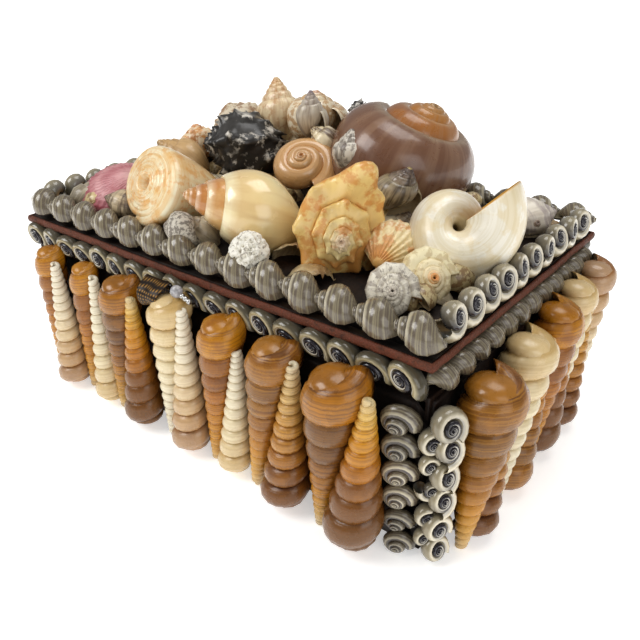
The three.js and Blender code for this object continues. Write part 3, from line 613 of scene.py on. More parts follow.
def eye_material(name, disc, rim, glow):
    """Periwinkle seen from its spire: polished, a dark disc wound with a white thread in a pale last whorl."""
    material, tree, shader = blank_material(name)
    parts = add(tree, "ShaderNodeSeparateXYZ", {0: add(tree, "ShaderNodeUVMap", uv_map="shell")})
    u, v = parts.outputs[0], parts.outputs[1]
    metres = add(tree, "ShaderNodeTexCoord").outputs["Object"]
    cloud = add(tree, "ShaderNodeTexNoise", {"Vector": metres, "Scale": 1 / (3 * MM), "Detail": 3.0})
    spot = add(tree, "ShaderNodeMath", {0: cloud, 1: 0.03, 2: v}, operation="MULTIPLY_ADD")
    skirt = add(tree, "ShaderNodeValToRGB", {0: spot}, [
        (0.01, "#d8d2c4"), (0.05, "#d8d2c4"), (0.08, glow), (0.14, glow), (0.22, rim), (0.28, rim),
        (0.5, "#7d7b74"), (0.62, "#b89a70"), (0.75, rim)])
    crown = add(tree, "ShaderNodeValToRGB", {0: spot}, [(0.01, "#d8d2c4"), (0.07, "#d8d2c4"), (0.1, disc),
                                                        (0.9, disc)])
    last = add(tree, "ShaderNodeMapRange", {0: u, 1: 2.6, 2: 2.9, 3: 0.0, 4: 1.0})
    colour = add(tree, "ShaderNodeMix", {0: last, 6: crown, 7: skirt}, data_type="RGBA")
    tint = add(tree, "ShaderNodeAttribute", attribute_name="tint").outputs["Fac"]
    light = add(tree, "ShaderNodeMapRange", {0: tint, 1: 0.0, 2: 1.0, 3: 0.75, 4: 1.08})
    colour = add(tree, "ShaderNodeVectorMath", {0: colour, "Scale": light}, operation="SCALE")
    relief = add(tree, "ShaderNodeBump", {"Height": cloud, "Strength": 0.3, "Distance": 0.1 * MM})
    connect(tree, shader, {"Base Color": colour, "Normal": relief, "Roughness": 0.2, "IOR": 1.53,
                           "Coat Weight": 0.5, "Coat Roughness": 0.1})
    return material


def board_material(glue):
    """Fibreboard stained dark brown and smeared with glue: matt, with faint fibres and glossier smears. Its
    darkness is partly the stain and partly painted shade, for the gaps between the shells.
    """
    material, tree, shader = blank_material("stained_fibreboard_and_painted_shade")
    metres = add(tree, "ShaderNodeTexCoord").outputs["Object"]
    fibres = add(tree, "ShaderNodeTexNoise", {"Vector": metres, "Scale": 1 / (1.5 * MM), "Detail": 5.0})
    smears = add(tree, "ShaderNodeTexNoise", {"Vector": metres, "Scale": 1 / (22 * MM), "Detail": 2.0})
    blend = add(tree, "ShaderNodeMath", {0: fibres, 1: smears}, operation="MULTIPLY")
    colour = add(tree, "ShaderNodeValToRGB", {0: blend}, [(0.12, "#160f0b"), (0.3, glue), (0.5, "#3d2a1e")])
    gloss = add(tree, "ShaderNodeMapRange", {0: smears, 1: 0.4, 2: 0.6, 3: 0.85, 4: 0.5})
    relief = add(tree, "ShaderNodeBump", {"Height": fibres, "Strength": 0.5, "Distance": 0.3 * MM})
    connect(tree, shader, {"Base Color": colour, "Roughness": gloss, "Normal": relief})
    return material


def leather_material(dye):
    """Leather cord flattened and glued on: red-brown, cracked, paler where it is rubbed."""
    material, tree, shader = blank_material("glued_leather_strip")
    metres = add(tree, "ShaderNodeTexCoord").outputs["Object"]
    folds = add(tree, "ShaderNodeTexNoise", {"Vector": metres, "Scale": 1 / (4 * MM), "Detail": 6.0,
                                             "Roughness": 0.7})
    cracks = add(tree, "ShaderNodeTexVoronoi", {"Vector": metres, "Scale": 1 / (1.4 * MM)},
                 feature="DISTANCE_TO_EDGE")
    colour = add(tree, "ShaderNodeValToRGB", {0: folds}, [(0.3, "#2c140e"), (0.45, dye), (0.6, "#6e3823"),
                                                          (0.75, "#8f563a")])
    split = add(tree, "ShaderNodeMapRange", {0: cracks, 1: 0.0, 2: 0.06, 3: 0.55, 4: 0.0})
    colour = add(tree, "ShaderNodeMix", {0: split, 6: colour, 7: hexa("#2c150f")}, data_type="RGBA")
    height = add(tree, "ShaderNodeMath", {0: folds, 1: cracks}, operation="ADD")
    relief = add(tree, "ShaderNodeBump", {"Height": height, "Strength": 0.8, "Distance": 0.6 * MM})
    connect(tree, shader, {"Base Color": colour, "Normal": relief, "Roughness": 0.62})
    return material


def ribbon_material(thread):
    """Sheer woven ribbon with gold threads: brown, faintly metallic. Its 0.3 mm weave is drawn at 0.9 mm."""
    material, tree, shader = blank_material("woven_gold_ribbon")
    metres = add(tree, "ShaderNodeTexCoord").outputs["Object"]
    weft = add(tree, "ShaderNodeTexWave", {"Vector": metres, "Scale": 1 / (0.9 * MM) / TAU},
               bands_direction="X")
    warp = add(tree, "ShaderNodeTexWave", {"Vector": metres, "Scale": 1 / (0.9 * MM) / TAU},
               bands_direction="Z")
    weave = add(tree, "ShaderNodeMath", {0: weft, 1: warp}, operation="MULTIPLY")
    colour = add(tree, "ShaderNodeValToRGB", {0: weave}, [(0.05, "#20150b"), (0.4, thread), (0.9, "#9a7436")])
    relief = add(tree, "ShaderNodeBump", {"Height": weave, "Strength": 0.6, "Distance": 0.2 * MM})
    connect(tree, shader, {"Base Color": colour, "Normal": relief, "Roughness": 0.42, "Metallic": 0.25})
    return material


def bead_material():
    """Cut glass bead: clear, faintly grey, with a soft bloom where it is handled."""
    material, tree, shader = blank_material("cut_glass_bead")
    metres = add(tree, "ShaderNodeTexCoord").outputs["Object"]
    bloom = add(tree, "ShaderNodeTexNoise", {"Vector": metres, "Scale": 1 / (2 * MM)})
    colour = add(tree, "ShaderNodeValToRGB", {0: bloom}, [(0.35, "#b9b8bb"), (0.65, "#eceaee")])
    connect(tree, shader, {"Base Color": colour, "Roughness": 0.08, "IOR": 1.52, "Transmission Weight": 0.45})
    return material


def silver_material():
    """Silvered glass seed bead: a bright metal skin under the glass, a little uneven."""
    material, tree, shader = blank_material("silvered_seed_bead")
    metres = add(tree, "ShaderNodeTexCoord").outputs["Object"]
    bloom = add(tree, "ShaderNodeTexNoise", {"Vector": metres, "Scale": 1 / MM})
    worn = add(tree, "ShaderNodeMapRange", {0: bloom, 1: 0.3, 2: 0.7, 3: 0.15, 4: 0.4})
    connect(tree, shader, {"Base Color": hexa("#c9c8c6"), "Metallic": 1.0, "Roughness": worn})
    return material


def floor_material():
    """Matt white paper sweep with painted light: it glows, more the further it lies from the middle, so that it
    stays white where the lamps fall off; very faint fibre, no gloss.
    """
    material, tree, shader = blank_material("white_paper_painted_glow")
    metres = add(tree, "ShaderNodeTexCoord").outputs["Object"]
    fibre = add(tree, "ShaderNodeTexNoise", {"Vector": metres, "Scale": 1 / (3 * MM)})
    colour = add(tree, "ShaderNodeValToRGB", {0: fibre}, [(0.3, "#f7f7f6"), (0.7, "#fcfcfb")])
    away = add(tree, "ShaderNodeVectorMath", {0: metres}, operation="LENGTH").outputs["Value"]
    # painted light: the floor's glow grows from 0.4 near the box to 0.9 at 2.5 m out, in place of lamp light on
    # the paper
    painted_glow = add(tree, "ShaderNodeMapRange", {0: away, 1: 0.5, 2: 2.5, 3: 0.4, 4: 0.9})
    connect(tree, shader, {"Base Color": colour, "Roughness": 0.95, "Specular IOR Level": 0.1,
                           "Emission Color": hexa("#ffffff"), "Emission Strength": painted_glow})
    return material


# ---- sizes a user may change ------------------------------------------------------------------
def colour_property(name, description, code):
    return bpy.props.FloatVectorProperty(name=name, description=description, default=hexa(code)[:3], size=3,
                                         subtype="COLOR", min=0, max=1)


class ShellBoxCaseSettings(bpy.types.PropertyGroup):
    glue_height: bpy.props.FloatProperty(name="Glue height",
                                         description="How high the glue bed stands on the lid", default=5 * MM,
                                         min=0, max=0.01, subtype="DISTANCE", unit="LENGTH")
    edging_wave: bpy.props.FloatProperty(name="Edging wave", description="How unevenly the leather strip lies",
                                         default=0.5 * MM, min=0, max=0.002, subtype="DISTANCE", unit="LENGTH")
    # the boards' and glue bed's colour: partly their own dark stain, partly painted shade for the gaps between
    # the shells
    glue_and_shade_colour: colour_property("Glue", "Stain of the boards and the glue bed", "#2a1c14")
    leather_colour: colour_property("Leather", "Dye of the strip round the lid", "#66371f")
    ribbon_colour: colour_property("Ribbon", "Thread of the tab", "#5d421d")


class ShellBoxTurretSettings(bpy.types.PropertyGroup):
    stand_off: bpy.props.FloatProperty(name="Stand-off", description="Glue between a turret and the case",
                                       default=1.6 * MM, min=0, max=0.005, subtype="DISTANCE", unit="LENGTH")
    fullness: bpy.props.FloatProperty(name="Fullness", description="Widest radius, against the solid's",
                                      default=1.13, min=0.9, max=1.2, subtype="FACTOR")
    cord_depth: bpy.props.FloatProperty(name="Cord depth", description="Depth of the spiral cords, as a share",
                                        default=0.014, min=0, max=0.05, subtype="FACTOR")
    rings: bpy.props.IntProperty(name="Rings", description="Rings of faces along a visible turret", default=200,
                                 min=80, max=400)
    sides: bpy.props.IntProperty(name="Sides", description="Faces round the tube of a visible turret",
                                 default=16, min=8, max=40)


class ShellBoxCourseSettings(bpy.types.PropertyGroup):
    unevenness: bpy.props.FloatProperty(name="Unevenness", description="How far the small shells are turned",
                                        default=0.14, min=0, max=0.5, subtype="ANGLE", unit="ROTATION")
    body_colour: colour_property("Body", "Last whorl of the periwinkles", "#6d6254")
    spire_colour: colour_property("Spire", "Spire of the periwinkles", "#3d3740")
    eye_colour: colour_property("Eye", "Dark disc of the shells that face outward", "#26222a")
    rim_colour: colour_property("Rim", "Pale last whorl of the shells that face outward", "#9c927a")


class ShellBoxHeapSettings(bpy.types.PropertyGroup):
    fillers: bpy.props.IntProperty(name="Fillers", description="Small shells between the large ones",
                                   default=112, min=0, max=160)
    conch_colour: colour_property("Conch", "Main colour of the yellow conch", "#e3b45c")
    scallop_colour: colour_property("Scallop", "Main colour of the pink scallop", "#cf9a9a")
    snail_colour: colour_property("Land snail", "Last whorl of the large brown snail", "#6f4f3a")


# ---- case, lid, trim --------------------------------------------------------------------------
def node_copy(name):
    """A CAD node's mesh as a new one, with its doubled points merged."""
    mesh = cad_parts[name].data.copy()
    mesh.name = name
    mesh.materials.clear()
    work = bmesh.new()
    work.from_mesh(mesh)
    bmesh.ops.remove_doubles(work, verts=work.verts, dist=1e-5)
    bmesh.ops.dissolve_limit(work, angle_limit=0.01, verts=work.verts, edges=work.edges)
    work.to_mesh(mesh)
    work.free()
    return mesh


def bevelled(piece, width):
    """Takes the sharp edges off a board."""
    modifier = piece.modifiers.new("eased edges", "BEVEL")
    modifier.width = width
    modifier.segments = 2


def lumpy_slab(width, depth, height, lump, seed, cells):
    """A slab on XY round the origin whose top is lumpy and comes down to its flat underside at the edges."""
    rows, columns = (max(4, int(cells * side / max(width, depth))) for side in (width, depth))
    x, y = np.meshgrid(np.linspace(-0.5, 0.5, rows + 1), np.linspace(-0.5, 0.5, columns + 1), indexing="ij")
    edge = np.minimum((0.5 - abs(x)) * width, (0.5 - abs(y)) * depth)
    fade = np.clip(edge / (height + lump), 0, 1) ** 0.6
    z = fade * (height + lump * noise(seed, x * width / 0.008, y * depth / 0.008))
    top = np.stack([x * width, y * depth, z], -1)
    flat = np.stack([x * width, y * depth, 0 * z], -1)
    faces = grid_faces(rows + 1, columns + 1, False)
    return outward(merged([Form(top, faces), Form(flat, faces[:, ::-1])]))


def edging_form(wave):
    """The leather strip: a rounded section carried round the lid's edge, its faces rising and falling."""
    low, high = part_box("lid_edging")
    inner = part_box("lid_board")[1]
    gap, middle = 0.3 * MM, (low.z + high.z) / 2
    thick, tall = high.x - inner.x - gap, high.z - low.z
    section = smooth_loop([(0, -0.36), (0.6, -0.42), (1.02, -0.16), (1.0, 0.18), (0.6, 0.4), (0, 0.36),
                           (0, 0)], 16)
    x, y = inner.x + gap, inner.y + gap
    corners = [(x, -y), (x, y), (-x, y), (-x, -y)]
    rows, outs = [], []
    for k, (near, far) in enumerate(zip(corners, corners[1:] + corners[:1])):
        for t in np.arange(0, 1, 0.01):
            rows.append((near[0] * (1 - t) + far[0] * t, near[1] * (1 - t) + far[1] * t))
            out = [(1, 0), (0, 1), (-1, 0), (0, -1)][k]
            before = [(0, -1), (1, 0), (0, 1), (-1, 0)][k]
            outs.append((out[0] + before[0], out[1] + before[1]) if t == 0 else out)
    rows, outs = np.array(rows), np.array(outs, float)
    s = np.linspace(0, TAU, len(rows), endpoint=False)[:, None]
    rise = 2 * wave * noise(5, np.cos(s) * 9, np.sin(s) * 9)
    fat = 1 - 0.22 * np.clip(noise(6, np.cos(s) * 60, np.sin(s) * 60), 0, 1)
    reach = section[None, :, 0] * thick * fat
    place = rows[:, None, :] + outs[:, None, :] * reach[..., None]
    z = middle + section[None, :, 1] * tall * (0.85 + 0.15 * fat) + rise * 0.5
    points = np.concatenate([place, z[..., None]], -1)
    points = np.concatenate([points, points[:1]])
    return outward(Form(points, grid_faces(len(points), 16, True)))


def ribbon_form(lengthwise=56, crosswise=14):
    """The ribbon's strip bent into a loop under the lid, pinched to its free end, and its flat size."""
    low, high = (np.array(corner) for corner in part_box("ribbon_tab"))
    depth, drop, width = high[1] - low[1], high[2] - low[2], high[0] - low[0]
    loop = smooth_loop(
        [(1, 1), (0.55, 0.93), (0.12, 0.72), (0.02, 0.4), (0.22, 0.08), (0.55, 0.03), (0.85, 0.3)],
        lengthwise)
    path = np.stack([low[1] + loop[:, 0] * depth, low[2] + loop[:, 1] * drop], -1)[: lengthwise - 2]
    s = np.linspace(0, 1, len(path))[:, None]
    x = np.linspace(0, 1, crosswise)[None, :]
    fold = 0.06 * drop * np.sin(TAU * (x * 1.5 + s)) * np.sin(math.pi * s)
    across = low[0] + width * (x * (1 - 0.25 * np.sin(math.pi * s)) + 0.2 * np.sin(math.pi * s))
    points = np.stack([across, path[:, :1] + fold * 0.4, path[:, 1:] + fold], -1)
    length = np.linalg.norm(np.diff(points[:, crosswise // 2], axis=0), axis=1).sum()
    return Form(points, grid_faces(len(path), crosswise, False)), width, length


def ball_form(radius, rings, sides):
    """A ball, closed at its poles."""
    a = np.linspace(0, math.pi, rings)[:, None]
    b = np.arange(sides)[None, :] / sides * TAU
    points = np.stack([np.sin(a) * np.cos(b), np.sin(a) * np.sin(b), np.cos(a) + 0 * b], -1) * radius
    return outward(Form(points, grid_faces(rings, sides, True)))


# ---- turrets ----------------------------------------------------------------------------------
# Each turret as (wide end and tip along the face, widest radius, far end's height, in mm, wide end up, kind).
FRONT_TURRETS = [
    (-111, -125, 8.8, 93, True, "amber"), (-106, -100, 10.2, 86, False, "pearl"),
    (-78, -93, 8.4, 91, True, "amber"),
    (-71, -65, 9.1, 87, False, "ivory"), (-41, -59, 11.4, 94, True, "mauve"),
    (-36, -30, 11.3, 86, False, "honey"),
    (-2, -15, 11.3, 95, True, "ivory"), (3, 10, 10.9, 91, False, "pearl"), (35, 20, 11.3, 95, True, "amber"),
    (34, 45, 9.2, 80, False, "ivory"), (70, 50, 12.3, 95, True, "umber"), (71, 82, 12, 88, False, "tan"),
    (106, 94, 14.4, 96, True, "mauve"), (113, 123, 13.6, 88, False, "honey"),
]
END_TURRETS = [
    (-59, -73, 14.5, 92, True, "umber"), (-61, -36, 11, 74, False, "tan"), (-20.5, -36, 13, 93, True, "ivory"),
    (-24, 1, 10.8, 80, False, "umber"), (15, 2, 12.2, 94, True, "amber"), (14, 29.8, 10.4, 82, False, "honey"),
    (42, 31.6, 10.6, 95, True, "ivory"), (44, 57, 9.9, 84, False, "tan"), (69, 61, 10.5, 96, True, "pearl"),
]
BACK_PITCH, BACK_PAIRS = 36, 7
BACK_TURRETS = [
    turret
    for i, kinds in enumerate(zip("amber ivory mauve pearl umber amber ivory".split(),
                                  "pearl honey tan ivory pearl honey tan".split()))
    for middle in [(i - (BACK_PAIRS - 1) / 2) * BACK_PITCH]
    for turret in [
        (middle - BACK_PITCH * 0.03, middle - BACK_PITCH * 0.53, BACK_PITCH * 0.345, 94, True, kinds[0]),
        (middle + BACK_PITCH * 0.1, middle + BACK_PITCH * 0.3, BACK_PITCH * 0.345, 87, False, kinds[1]),
    ]
]
FACES = {  # the direction along each face, and its outward normal
    "front": (Vector((1, 0, 0)), Vector((0, -1, 0))),
    "right": (Vector((0, 1, 0)), Vector((1, 0, 0))),
    "back": (Vector((-1, 0, 0)), Vector((0, 1, 0))),
    "left": (Vector((0, -1, 0)), Vector((-1, 0, 0))),
}


def face_reach(name):
    """How far the case's face lies from its middle, and half its length."""
    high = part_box("box_case")[1]
    return (high.y, high.x) if name in ("front", "back") else (high.x, high.y)


def laid_turret(tree, face, spec, settings, finish, share, seed):
    """One turret grown and laid between its ends against a face, its mouth turned to the case."""
    wide, tip, radius, top, rising, kind = spec
    along, out = FACES[face]
    reach = face_reach(face)[0] + settings.stand_off + radius * MM
    foot = 0.4  # mm between a turret and the floor
    rng = np.random.default_rng(seed)
    pearly = kind in ("pearl", "ivory", "tan")
    whorls = float(rng.uniform(12, 13.5) if pearly else rng.uniform(10.5, 12.5))
    form = form_of(grown(tree, {
        "Length": (top - foot) * MM, "Radius": radius * settings.fullness * MM, "Tip share": 2.4 / radius,
        "Whorls": whorls,
        "Whorl height": 0.6 if pearly else 0.74, "Cord depth": settings.cord_depth,
        "Slant": float(rng.uniform(0.1, 0.3)), "Wall": 0.3,
        "Rings": int(settings.rings * share), "Sides": int(settings.sides * (share**0.5)), "Material": finish,
    }))
    low, high = form.points.min(0), form.points.max(0)
    ends = [
        along * (wide * MM) + out * reach + Vector((0, 0, (top if rising else foot) * MM)),
        along * (tip * MM) + out * (reach + (-1.5 if rising else 3.5) * MM)
        + Vector((0, 0, (foot if rising else top) * MM)),
    ]
    axis = ends[1] - ends[0]
    stretch = axis.length / (high[2] - low[2])
    form = form.at((form.points - np.array([0, 0, high[2]])) * np.array([1, 1, stretch]))

    # the shell's base, a low dome inside the last whorl and of its colour
    full = radius * settings.fullness * MM
    base = ball_form(1.0, 9, 14).scaled(full * 0.76, full * 0.76, full * 0.42)
    base.uv = np.full((len(base.faces), 4, 2), (0.97, 0.4))
    form = merged([form, base.moved(Matrix.Translation((0, 0, full * 0.62 - axis.length)))])

    turn = pointing(axis)
    mouth = turn.inverted() @ (-out)
    spin = math.atan2(mouth.y, mouth.x) + 0.95 + TAU * whorls + rng.uniform(-0.25, 0.25)
    place = Matrix.Translation(ends[1]) @ turn @ Matrix.Rotation(spin, 4, "Z")
    return outward(form.moved(place))


# ---- periwinkle courses -----------------------------------------------------------------------
def small_shells():
    """The small shells that the courses repeat, their largest radius 1: a barrel, one seen from its spire."""
    barrel = coil(STEPPED_MOUTH, 3.6, 1.95, steps=15, sides=12, wall=0.14, recess=0.25)
    eye = coil(EYE_MOUTH, 3.6, 2.0, steps=15, sides=12, wall=0.14, recess=0.2)
    return {"barrel": unit_shell(barrel, 3.0), "eye": unit_shell(eye, 1.7), "rim": unit_shell(eye, 1.8)}


def unit_shell(form, length):
    """The form centred, with a largest radius of 1 and this length."""
    low, high = form.points.min(0), form.points.max(0)
    radius = (high - low)[:2].mean() / 2
    middle = (low + high) / 2
    return form.at((form.points - middle) / np.array([radius, radius, (high - low)[2] / length]))


def course(tree, shell, start, end, count, axis, size, seed, roll, finish, uneven, spread=0.05):
    """count small shells between two points, their spires along axis."""
    seat = bpy.data.objects.new("seat", to_mesh("seat", shell.moved(Matrix.Rotation(roll, 4, "Z"))))
    bpy.context.scene.collection.objects.link(seat)
    form = form_of(grown(tree, {
        "Start": tuple(start), "End": tuple(end), "Turn": tuple(pointing(axis).to_euler()),
        "Unevenness": (uneven, uneven, uneven), "Size": size, "Size spread": spread, "Count": count,
        "Seed": seed,
        "Shell": seat, "Material": finish,
    }))
    bpy.data.objects.remove(seat)
    return form


def lid_course(tree, shells, name, settings, finish, seed):
    """The course on the lid's edge: barrels along the long sides, shells facing outward at the ends."""
    along, out = FACES[name]
    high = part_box("lid_board")[1]
    long = name in ("front", "back")
    edge, half = (high.y, high.x - 9 * MM) if long else (high.x, high.y - 18 * MM)
    radius, overhang, sunk = 8.9 * MM, 4.2 * MM, 0.4 * MM
    middle = out * (edge - radius + overhang) + Vector((0, 0, high.z - sunk + radius))
    count = 14 if long else 10
    pitch = 2 * half / (count - 1)
    if long:
        shell = shells["barrel"].scaled(1, 1, pitch * 1.22 / radius / 3.0)
        axis = -along + out * 0.4 + Vector((0, 0, 0.1))
        roll = roll_towards(axis, -out * 0.5 - Vector((0, 0, 1)), 0.25)
    else:
        shell = shells["eye"].scaled(1, pitch * 0.57 / radius, 1)
        axis = out + Vector((0, 0, 0.3))
        roll = roll_towards(axis, -along - Vector((0, 0, 0.6)))
    return course(tree, shell, middle - along * half, middle + along * half, count, axis, radius * 1.02, seed,
                  roll, finish, settings.unevenness)


def rim_course(tree, shells, name, settings, finish, seed):
    """The course under the lid, on the case's ledge."""
    along, out = FACES[name]
    distance, half = face_reach(name)
    long = name in ("front", "back")
    radius, ledge = 6.1 * MM, 5.15 * MM
    low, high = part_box("rim_snails_" + name)
    middle = out * (distance - ledge + radius) + Vector((0, 0, (low.z + high.z) / 2))
    half -= 9 * MM
    count = 18 if long else 12
    pitch = 2 * half / (count - 1)
    if long:
        shell = shells["rim"].scaled(pitch * 0.57 / radius, 1, 1)
        axis = out + Vector((0, 0, -0.05))
        roll = roll_towards(axis, along - Vector((0, 0, 0.6)))
    else:
        shell = shells["barrel"].scaled(0.95, 0.95, pitch * 1.25 / radius / 3.0)
        axis = along + out * 0.25 + Vector((0, 0, 0.1))
        roll = roll_towards(axis, -out - Vector((0, 0, 0.4)), 0.25)
    return course(tree, shell, middle - along * half, middle + along * half, count, axis, radius * 1.1, seed,
                  roll, finish, settings.unevenness)


CORNER_ROWS, CORNER_STEP, CORNER_FOOT = 6, 13.6 * MM, 6.8 * MM


def corner_form(shells, seed):
    """The three columns of small shells that close a corner, turned for the front right one. Eyes take slot 1."""
    rng = np.random.default_rng(seed)
    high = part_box("box_case")[1]
    gap = 0.35 * MM  # glue between a shell and the case
    forms = []
    for i in range(CORNER_ROWS):
        radius = (6.2 + 1.4 * i / (CORNER_ROWS - 1)) * MM
        z = CORNER_FOOT + CORNER_STEP * i
        side = Vector((high.x + gap + radius, -high.y + radius * 0.15, z))
        front = Vector((high.x - radius * 1.05, -high.y - gap - radius * 0.95, z))
        edge = Vector((high.x + radius * 0.45, -high.y - radius * 0.45, z + CORNER_STEP / 2))
        eye = shells["eye"].scaled(*[radius * 1.16] * 3).tinted(rng.uniform()).in_slot(1)
        barrel = shells["barrel"].scaled(radius * 1.15, radius * 1.15, radius * 0.62).tinted(rng.uniform())
        small = shells["eye"].scaled(*[radius * 0.8] * 3).tinted(rng.uniform()).in_slot(1)
        sway = Vector(rng.uniform(-0.12, 0.12, 3))
        forward, down = Vector((1, -0.35, 0.2)) + sway, Vector((0.3, -1, -0.25)) + sway
        forms.append(eye.moved(Matrix.Translation(side) @ pointing(forward, rng.uniform(-1, 1))))
        inward = roll_towards(down, (-0.5, 0.4, -1), 0.25)
        if i < CORNER_ROWS - 1:
            forms.append(small.moved(Matrix.Translation(edge) @ pointing(Vector((1, -0.8, 0)) + sway, 2 * i)))
        forms.append(barrel.moved(Matrix.Translation(front) @ pointing(down, inward)))
    return merged(forms)


# ---- the heap ---------------------------------------------------------------------------------
def valve(ribs, depth, dome=0.55, spread=1.25, thickness=0.06, scallop=0.05, rows=34, fine=6):
    """One valve of a scallop or a cockle, domed to +Z, its umbo at -X, closed round its margin."""
    count = ribs * fine
    a = np.linspace(-spread, spread, count)
    a = np.concatenate([a, a[::-1]])
    outer = np.arange(2 * count) < count
    t = np.linspace(0, 1, rows)[:, None]
    beat = 0.5 + 0.5 * np.cos(TAU * ribs * (a + spread) / (2 * spread))
    reach = 2 * np.cos(a) ** 0.75 * (1 + scallop * (beat - 0.5) * 0.6)
    x, y = -1 + t * reach * np.cos(a), t * reach * np.sin(a)
    inside = np.clip(1 - (x * x + y * y) * 0.96, 0, 1)
    umbo = 0.35 * np.exp(-((t / 0.22) ** 2))
    rings = 0.25 * depth * np.sin(t * 46 + 2 * np.sin(t * 9))
    z = dome * inside**0.55 + umbo * dome * (t > 0) + (depth * beat * t**0.6 + rings) * np.clip(t * 3, 0, 1)
    z = np.where(outer, z, z - thickness - 0.3 * depth * beat * t)
    points = np.stack([x, y, z], -1)
    margin = points[-1:].copy()
    mirrored = margin[:, ::-1]
    points = np.concatenate([points, (margin + mirrored) / 2])
    u = np.concatenate([t[:, 0], [1.01]])
    return outward(Form(points, grid_faces(len(points), 2 * count, True), quad_uv(u, 2 * count)))


def coral(seed=11, pits=170):
    """A ball of bleached coral: knobs between deep pits."""
    ball = ball_form(1.0, 56, 84)
    rng = np.random.default_rng(seed)
    seats = rng.normal(size=(pits, 3))
    seats /= np.linalg.norm(seats, axis=1)[:, None]
    near = np.sort(np.linalg.norm(ball.points[:, None, :] - seats[None], axis=2), axis=1)[:, :2]
    rim = near[:, 1] - near[:, 0]
    pit = np.exp(-((near[:, 0] / 0.075) ** 2))
    lump = noise(seed, *(ball.points.T * 3))
    return ball.at(ball.points * (1 - 0.22 * pit + 0.06 * np.exp(-((rim / 0.05) ** 2)) + 0.06 * lump)[:, None])


HORN_TURN = 5.29  # where the conch's long knob stands, in whorls from the apex


def conch_relief(turn, across):
    """Blunt knobs round the conch's shoulder, and the long one that stands out from it."""
    knobs = knob_relief(8, 0.34, at=0.2, width=0.06, extra=((0.34, 0.05),))(turn, across)
    horn = np.exp(-(((turn - HORN_TURN) / 0.045) ** 2)) * np.exp(-(((across - 0.2) / 0.09) ** 2))
    return knobs + 1.1 * horn + 0.02 * noise(3, turn * 7, across * 12)


def frill_relief(frills, depth, seed):
    """Sharp scaly frills across the whorls, cut into points by the cords."""

    def relief(turn, across):
        window = np.clip((across - 0.04) * 12, 0, 1) * np.clip((0.7 - across) * 8, 0, 1)
        beat = (0.5 + 0.5 * np.cos(TAU * frills * turn + 0.8 * np.sin(across * 30))) ** 4
        points = 0.25 + 0.75 * (0.5 + 0.5 * np.cos(TAU * 11 * across)) ** 2
        return window * depth * beat * points + 0.03 * noise(seed, turn * 9, across * 30)

    return relief


